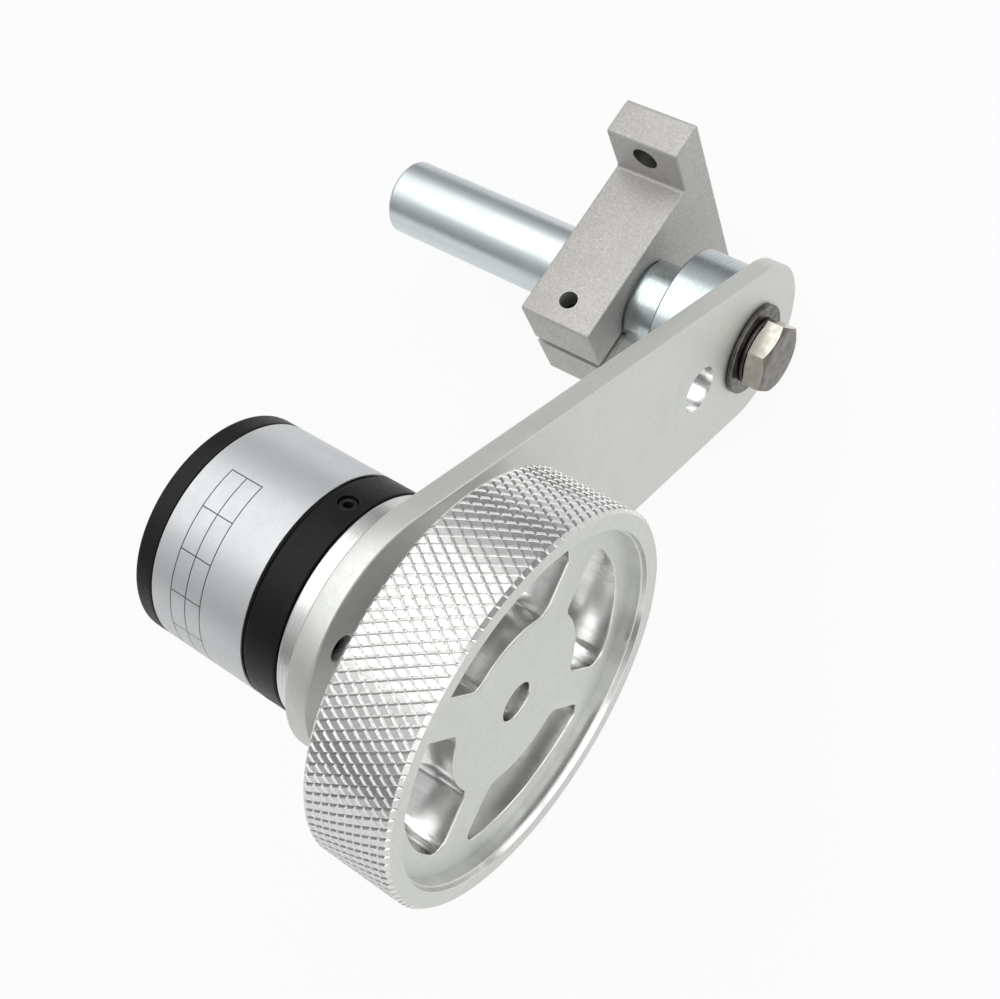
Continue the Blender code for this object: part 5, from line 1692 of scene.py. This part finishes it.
@dataclass
class ClampBlock:
    """Split shaft support: base with two tabs, tower, bore, slit and clamp screw."""

    width: float = 16.0 * MM
    base_span: float = 48.0 * MM
    base_height: float = 8.0 * MM
    tower_span: float = 25.0 * MM
    height: float = 44.0 * MM
    shaft_height: float = 27.0 * MM
    bore: float = 8.2 * MM
    slit: float = 2.0 * MM
    hole: float = 2.75 * MM
    hole_spacing: float = 38.0 * MM
    fillet: float = 0.8 * MM
    edge: float = 0.4 * MM
    screw_from_top: float = 5.5 * MM
    tapped_radius: float = 1.75 * MM
    tapped_pitch: float = 0.8 * MM
    screw: SocketScrew = field(
        default_factory=lambda: SocketScrew(
            2.5 * MM, 25.3 * MM, 4.0 * MM, 2.5 * MM, 4.25 * MM, 5.0 * MM, 0.35 * MM,
        )
    )

    def outline(self) -> np.ndarray:
        """Return the block's outline, +X from the base face to the tower's top.

        The slit runs from the top into the bore, so both are part of one outline. It meets the
        bore's circle at the angle asin(half slit / bore) from the tower's middle.

        Returns:
            The outline's points.
        """
        base, tower, half = self.base_span / 2, self.tower_span / 2, self.slit / 2
        outside = np.array([
            (self.height, half), (self.height, tower), (self.base_height, tower), (self.base_height, base),
            (0.0, base), (0.0, -base), (self.base_height, -base), (self.base_height, -tower),
            (self.height, -tower), (self.height, -half),
        ])
        rounded = soften([tuple(point) for point in outside], self.fillet, 5, closed=False)
        lean = math.asin(half / self.bore)
        mouth = arc((self.shaft_height, 0.0), self.bore, TURN - lean, lean, 96)
        return np.concatenate((rounded, mouth))

    def build(self, workshop: Workshop) -> None:
        """Build and dress the block and its clamp screw.

        Args:
            workshop: Maker of the pieces.
        """
        points, faces = plate([self.outline()], self.width, self.edge)
        placed = np.stack((-points[:, 0], points[:, 2], points[:, 1]), axis=-1)
        shell = Shell(placed, faces)
        block = workshop.piece("support_block", [shell], [CAST_SKIN], Body.BLOCK, ("clamp_block",), crease=40.0)
        cutters = []
        for side in (-1, 1):
            place = np.array([0.0, 0.0, side * self.hole_spacing / 2])
            reach = np.array([self.base_height + 1.0 * MM, 0.0, 0.0])
            cutters.append(drill(place + np.array([1.0 * MM, 0.0, 0.0]), place - reach, self.hole))
        middle = np.array([-self.height + self.screw_from_top, 0.0, 0.0])
        across = np.array([0.0, 0.0, self.tower_span / 2 + 1.0 * MM])
        tip = middle + np.array([0.0, 0.0, self.screw.length - self.tower_span / 2 - 5.2 * MM])
        cutters.append(drill(middle - across, tip, self.screw.shank_radius + 0.25 * MM))
        cutters.append(tapped(tip - across * 0.02, middle + across, self.tapped_radius, self.tapped_pitch))
        # The holes' walls get the darkened hole finish: painted shade inside them.
        workshop.carve(block, cutters, HOLE_WALL_PAINTED_SHADE, crease=40.0)
        sharpen_caps(block.data, 1)
        top = middle - np.array([0.0, 0.0, self.tower_span / 2 + 0.3 * MM + self.screw.head_height])
        screw = self.screw.shell(top, np.array([0.0, 0.0, -1.0]))
        workshop.piece("pinch_screw", [screw], [DARK_STEEL], Body.BLOCK, ("clamp_screw",))


LABEL_FILM = Finish(
    "silver label film", "label_film", (0.60, 0.615, 0.62), (0.52, 0.535, 0.54), 0.45, 0.36, 0.10,
    Pattern.BLASTED, 2200.0, 0.5, 0.04, smudge=0.15,
)


@dataclass(frozen=True)
class RuledTable:
    """A plain ruled table on the label: where it lies, in metres round and along the label."""

    around: tuple[float, float]
    along: tuple[float, float]
    column: float
    row: float
    line: float = 0.19 * MM


class LabelDresser:
    """Adds a plain ruled table to the label's film."""

    def __init__(self, finisher: Finisher, table: RuledTable) -> None:
        """Keep the finisher and the table, and build the line group."""
        self.finisher = finisher
        self.table = table
        self.lines = self._lines()

    def _lines(self) -> bpy.types.NodeTree:
        """Build the ruled lines: one where the remainder of the place over the spacing is below the width.

        Returns:
            The node group.
        """
        group = bpy.data.node_groups.new("ruled lines", "ShaderNodeTree")
        for label in ("Place", "Across", "Low", "High", "Across Low", "Across High", "Spacing", "Width"):
            group.interface.new_socket(label, in_out="INPUT", socket_type="NodeSocketFloat")
        group.interface.new_socket("Mask", in_out="OUTPUT", socket_type="NodeSocketFloat")
        start, end = group.nodes.new("NodeGroupInput"), group.nodes.new("NodeGroupOutput")
        maths = Groups._maths
        shifted = maths(group, "SUBTRACT", start.outputs["Place"], start.outputs["Low"])
        rest = maths(group, "FLOORED_MODULO", shifted, start.outputs["Spacing"])
        line = maths(group, "LESS_THAN", rest, start.outputs["Width"])
        inside = None
        for place, low, high in (("Place", "Low", "High"), ("Across", "Across Low", "Across High")):
            above = maths(group, "GREATER_THAN", start.outputs[place], start.outputs[low])
            below = maths(group, "LESS_THAN", start.outputs[place], start.outputs[high])
            both = maths(group, "MULTIPLY", above, below)
            inside = both if inside is None else maths(group, "MULTIPLY", inside, both)
        group.links.new(maths(group, "MULTIPLY", line, inside), end.inputs["Mask"])
        return group

    def material(self) -> bpy.types.Material:
        """Return the label's material: its film, darkened where the table's lines run.

        Returns:
            The material.
        """
        film = self.finisher.material(LABEL_FILM)
        tree = film.node_tree
        shader = tree.nodes["Principled BSDF"]
        base = shader.inputs["Base Color"].links[0].from_socket
        split = tree.nodes.new("ShaderNodeSeparateXYZ")
        places = tree.nodes.new("ShaderNodeUVMap")
        places.uv_map = "metres"
        tree.links.new(places.outputs["UV"], split.inputs[0])
        table, masks = self.table, []
        for place, across, here, there, spacing in (
            ("X", "Y", table.around, table.along, table.column),
            ("Y", "X", table.along, table.around, table.row),
        ):
            node = tree.nodes.new("ShaderNodeGroup")
            node.node_tree = self.lines
            tree.links.new(split.outputs[place], node.inputs["Place"])
            tree.links.new(split.outputs[across], node.inputs["Across"])
            values = {
                "Low": here[0], "High": here[1] + table.line, "Across Low": there[0],
                "Across High": there[1] + table.line, "Spacing": spacing, "Width": table.line,
            }
            for label, value in values.items():
                node.inputs[label].default_value = value
            masks.append(node.outputs["Mask"])
        either = Groups._maths(tree, "MAXIMUM", masks[0], masks[1])
        printed = Groups._maths(tree, "MULTIPLY", either, 0.92)
        tree.links.new(Finisher._mix(tree, printed, base, (0.03, 0.03, 0.034)), shader.inputs["Base Color"])
        return film


# Studio.


@dataclass(frozen=True)
class Lamp:
    """One soft area lamp."""

    name: str
    place: tuple[float, float, float]
    size: float
    power: float


@dataclass
class Studio:
    """Camera, lamps, world and floor."""

    eye: tuple[float, float, float] = (-130.44 * MM, -126.89 * MM, 251.67 * MM)
    right: tuple[float, float, float] = (0.5446, -0.7947, -0.2679)
    up: tuple[float, float, float] = (0.8175, 0.4317, 0.3812)
    lens: float = 52.43
    target: tuple[float, float, float] = (-0.07, -0.02, 0.03)
    lamps: tuple[Lamp, ...] = (
        Lamp("overhead softbox", (-0.05, 0.10, 0.62), 0.80, 2.7),
        Lamp("wheel side softbox", (-0.30, -0.58, 0.20), 0.50, 0.9),
        Lamp("block side softbox", (0.45, -0.25, 0.35), 0.50, 0.9),
    )

    def build(self) -> None:
        """Build the whole studio."""
        scene = bpy.context.scene
        scene.view_settings.view_transform = "Standard"
        self._camera(scene)
        for lamp in self.lamps:
            self._lamp(scene, lamp)
        self._world(scene)
        self._floor(scene)

    def _camera(self, scene: bpy.types.Scene) -> None:
        """Place the camera at the photograph's angle.

        Args:
            scene: The scene to add to.
        """
        data = bpy.data.cameras.new("camera")
        data.lens = self.lens
        data.sensor_width = 36.0
        data.clip_start = 0.01
        camera = bpy.data.objects.new("camera", data)
        right, up = Vector(self.right).normalized(), Vector(self.up)
        back = right.cross(up).normalized()
        up = back.cross(right)
        turn = Matrix((right, up, back)).transposed().to_4x4()
        camera.matrix_world = Matrix.Translation(self.eye) @ turn
        scene.collection.objects.link(camera)
        scene.camera = camera

    def _lamp(self, scene: bpy.types.Scene, lamp: Lamp) -> None:
        """Hang one lamp and aim it at the object.

        Args:
            scene: The scene to add to.
            lamp: The lamp's name, place, size and power.
        """
        data = bpy.data.lights.new(lamp.name, "AREA")
        data.shape = "SQUARE"
        data.size = lamp.size
        data.energy = lamp.power
        item = bpy.data.objects.new(lamp.name, data)
        aim = (Vector(self.target) - Vector(lamp.place)).to_track_quat("-Z", "Y").to_matrix().to_4x4()
        item.matrix_world = Matrix.Translation(lamp.place) @ aim
        scene.collection.objects.link(item)

    def _world(self, scene: bpy.types.Scene) -> None:
        """Light the room: white to the camera, a dark horizon in reflections, even for diffuse light.

        Args:
            scene: The scene to add to.
        """
        world = bpy.data.worlds.new("studio")
        world.use_nodes = True
        tree = world.node_tree
        tree.nodes.clear()
        path = tree.nodes.new("ShaderNodeLightPath")
        split = tree.nodes.new("ShaderNodeSeparateXYZ")
        tree.links.new(tree.nodes.new("ShaderNodeTexCoord").outputs["Generated"], split.inputs[0])
        ramp = tree.nodes.new("ShaderNodeValToRGB")
        stops = ((0.0, 0.75), (0.46, 0.30), (0.53, 0.16), (0.63, 0.32), (0.78, 0.70), (1.0, 0.92))
        ramp.color_ramp.elements[0].position = stops[0][0]
        ramp.color_ramp.elements[1].position = stops[-1][0]
        for position, _ in stops[1:-1]:
            ramp.color_ramp.elements.new(position)
        for element, (_, level) in zip(ramp.color_ramp.elements, stops):
            element.color = (level, level, level * 1.01, 1.0)
        half = tree.nodes.new("ShaderNodeMath")
        half.operation = "MULTIPLY_ADD"
        half.inputs[1].default_value, half.inputs[2].default_value = 0.5, 0.5
        tree.links.new(split.outputs["Z"], half.inputs[0])
        tree.links.new(half.outputs[0], ramp.inputs["Fac"])
        room, mirror, white = (tree.nodes.new("ShaderNodeBackground") for _ in range(3))
        room.inputs["Color"].default_value = (0.97, 0.985, 1.0, 1.0)
        room.inputs["Strength"].default_value = 0.38
        tree.links.new(ramp.outputs["Color"], mirror.inputs["Color"])
        white.inputs["Color"].default_value = (1.0, 1.0, 1.0, 1.0)
        seen, shown = tree.nodes.new("ShaderNodeMixShader"), tree.nodes.new("ShaderNodeMixShader")
        tree.links.new(path.outputs["Is Glossy Ray"], seen.inputs[0])
        tree.links.new(room.outputs[0], seen.inputs[1])
        tree.links.new(mirror.outputs[0], seen.inputs[2])
        tree.links.new(path.outputs["Is Camera Ray"], shown.inputs[0])
        tree.links.new(seen.outputs[0], shown.inputs[1])
        tree.links.new(white.outputs[0], shown.inputs[2])
        tree.links.new(shown.outputs[0], tree.nodes.new("ShaderNodeOutputWorld").inputs[0])
        scene.world = world

    def _floor(self, scene: bpy.types.Scene) -> None:
        """Lay a pale floor under the object: a disc of rings about the origin.

        Args:
            scene: The scene to add to.
        """
        low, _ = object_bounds()
        radii = np.array([0.2, 0.6, 2.0, 6.0])[:, None] * np.ones(64)
        angles = np.arange(64) * TURN / 64
        rings, faces = ring_grid(radii, np.zeros((4, 64)), angles, closed=False)
        mesh = bpy.data.meshes.new("floor")
        points = rings + np.array([0.0, 0.0, low.z - 0.2 * MM])
        mesh.from_pydata(points.tolist(), [], [face for face in faces if len(points) - 1 not in face])
        floor = bpy.data.objects.new("floor", mesh)
        mesh.materials.append(self._floor_material())
        scene.collection.objects.link(floor)
        floor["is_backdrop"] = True

    @staticmethod
    def _floor_material() -> bpy.types.Material:
        """Return the floor's paint: mostly white to the camera, mirrors and glass, with the shadow kept.

        Returns:
            The material.
        """
        material = bpy.data.materials.new("pale floor")
        material.use_nodes = True
        tree = material.node_tree
        tree.nodes.clear()
        path = tree.nodes.new("ShaderNodeLightPath")
        paint, glow = tree.nodes.new("ShaderNodeBsdfDiffuse"), tree.nodes.new("ShaderNodeEmission")
        paint.inputs["Color"].default_value = (0.80, 0.80, 0.80, 1.0)
        glow.inputs["Strength"].default_value = 1.0
        first = Groups._maths(tree, "MAXIMUM", path.outputs["Is Camera Ray"], path.outputs["Is Glossy Ray"])
        both = Groups._maths(tree, "MAXIMUM", first, path.outputs["Is Transmission Ray"])
        share = Groups._maths(tree, "MULTIPLY", both, 0.90)
        mix = tree.nodes.new("ShaderNodeMixShader")
        tree.links.new(share, mix.inputs[0])
        tree.links.new(paint.outputs[0], mix.inputs[1])
        tree.links.new(glow.outputs[0], mix.inputs[2])
        tree.links.new(mix.outputs[0], tree.nodes.new("ShaderNodeOutputMaterial").inputs[0])
        return material


CAD_FINISHES = {
    "torsion_spring": SPRING_STEEL,
    "shaft_bearing_1": GROUND_STEEL,
    "shaft_bearing_2": GROUND_STEEL,
    "pivot_bush": BRONZE,
    "circuit_board": BOARD,
    "optical_reader": BLACK_PLASTIC,
    "code_disc": DISC_FILM,
    "disc_hub": ADAPTER_RING,
}


def dress_cad_nodes(nodes: dict[str, bpy.types.Object], finisher: Finisher) -> None:
    """Give the carried-over CAD nodes their finishes.

    Args:
        nodes: CAD nodes by name.
        finisher: Maker of the materials.
    """
    for name, finish in CAD_FINISHES.items():
        for slot in nodes[name].material_slots:
            slot.material = finisher.material(finish)
        LOG.info("%s keeps its CAD shape", name)


def corners(box: tuple) -> list[list[float]]:
    """Return a box's two corners as plain lists."""
    return [list(map(float, corner)) for corner in box]


def main() -> None:
    """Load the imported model, build each sub-assembly over it and light it."""
    logging.basicConfig(level=logging.INFO, format="%(name)s: %(message)s")
    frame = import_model()
    finisher = Finisher(Groups())
    workshop = Workshop(finisher)
    dress_cad_nodes(frame["nodes"], finisher)
    MeasuringWheel().build(workshop)
    SprungArm().build(workshop)
    table = RuledTable((24.0 * MM, 58.5 * MM), (-9.05 * MM, -3.05 * MM), 6.9 * MM, 3.0 * MM)
    Encoder().build(workshop, LabelDresser(finisher, table))
    Pivot().build(workshop)
    ClampBlock().build(workshop)
    Studio().build()


if __name__ == "__main__":
    main()
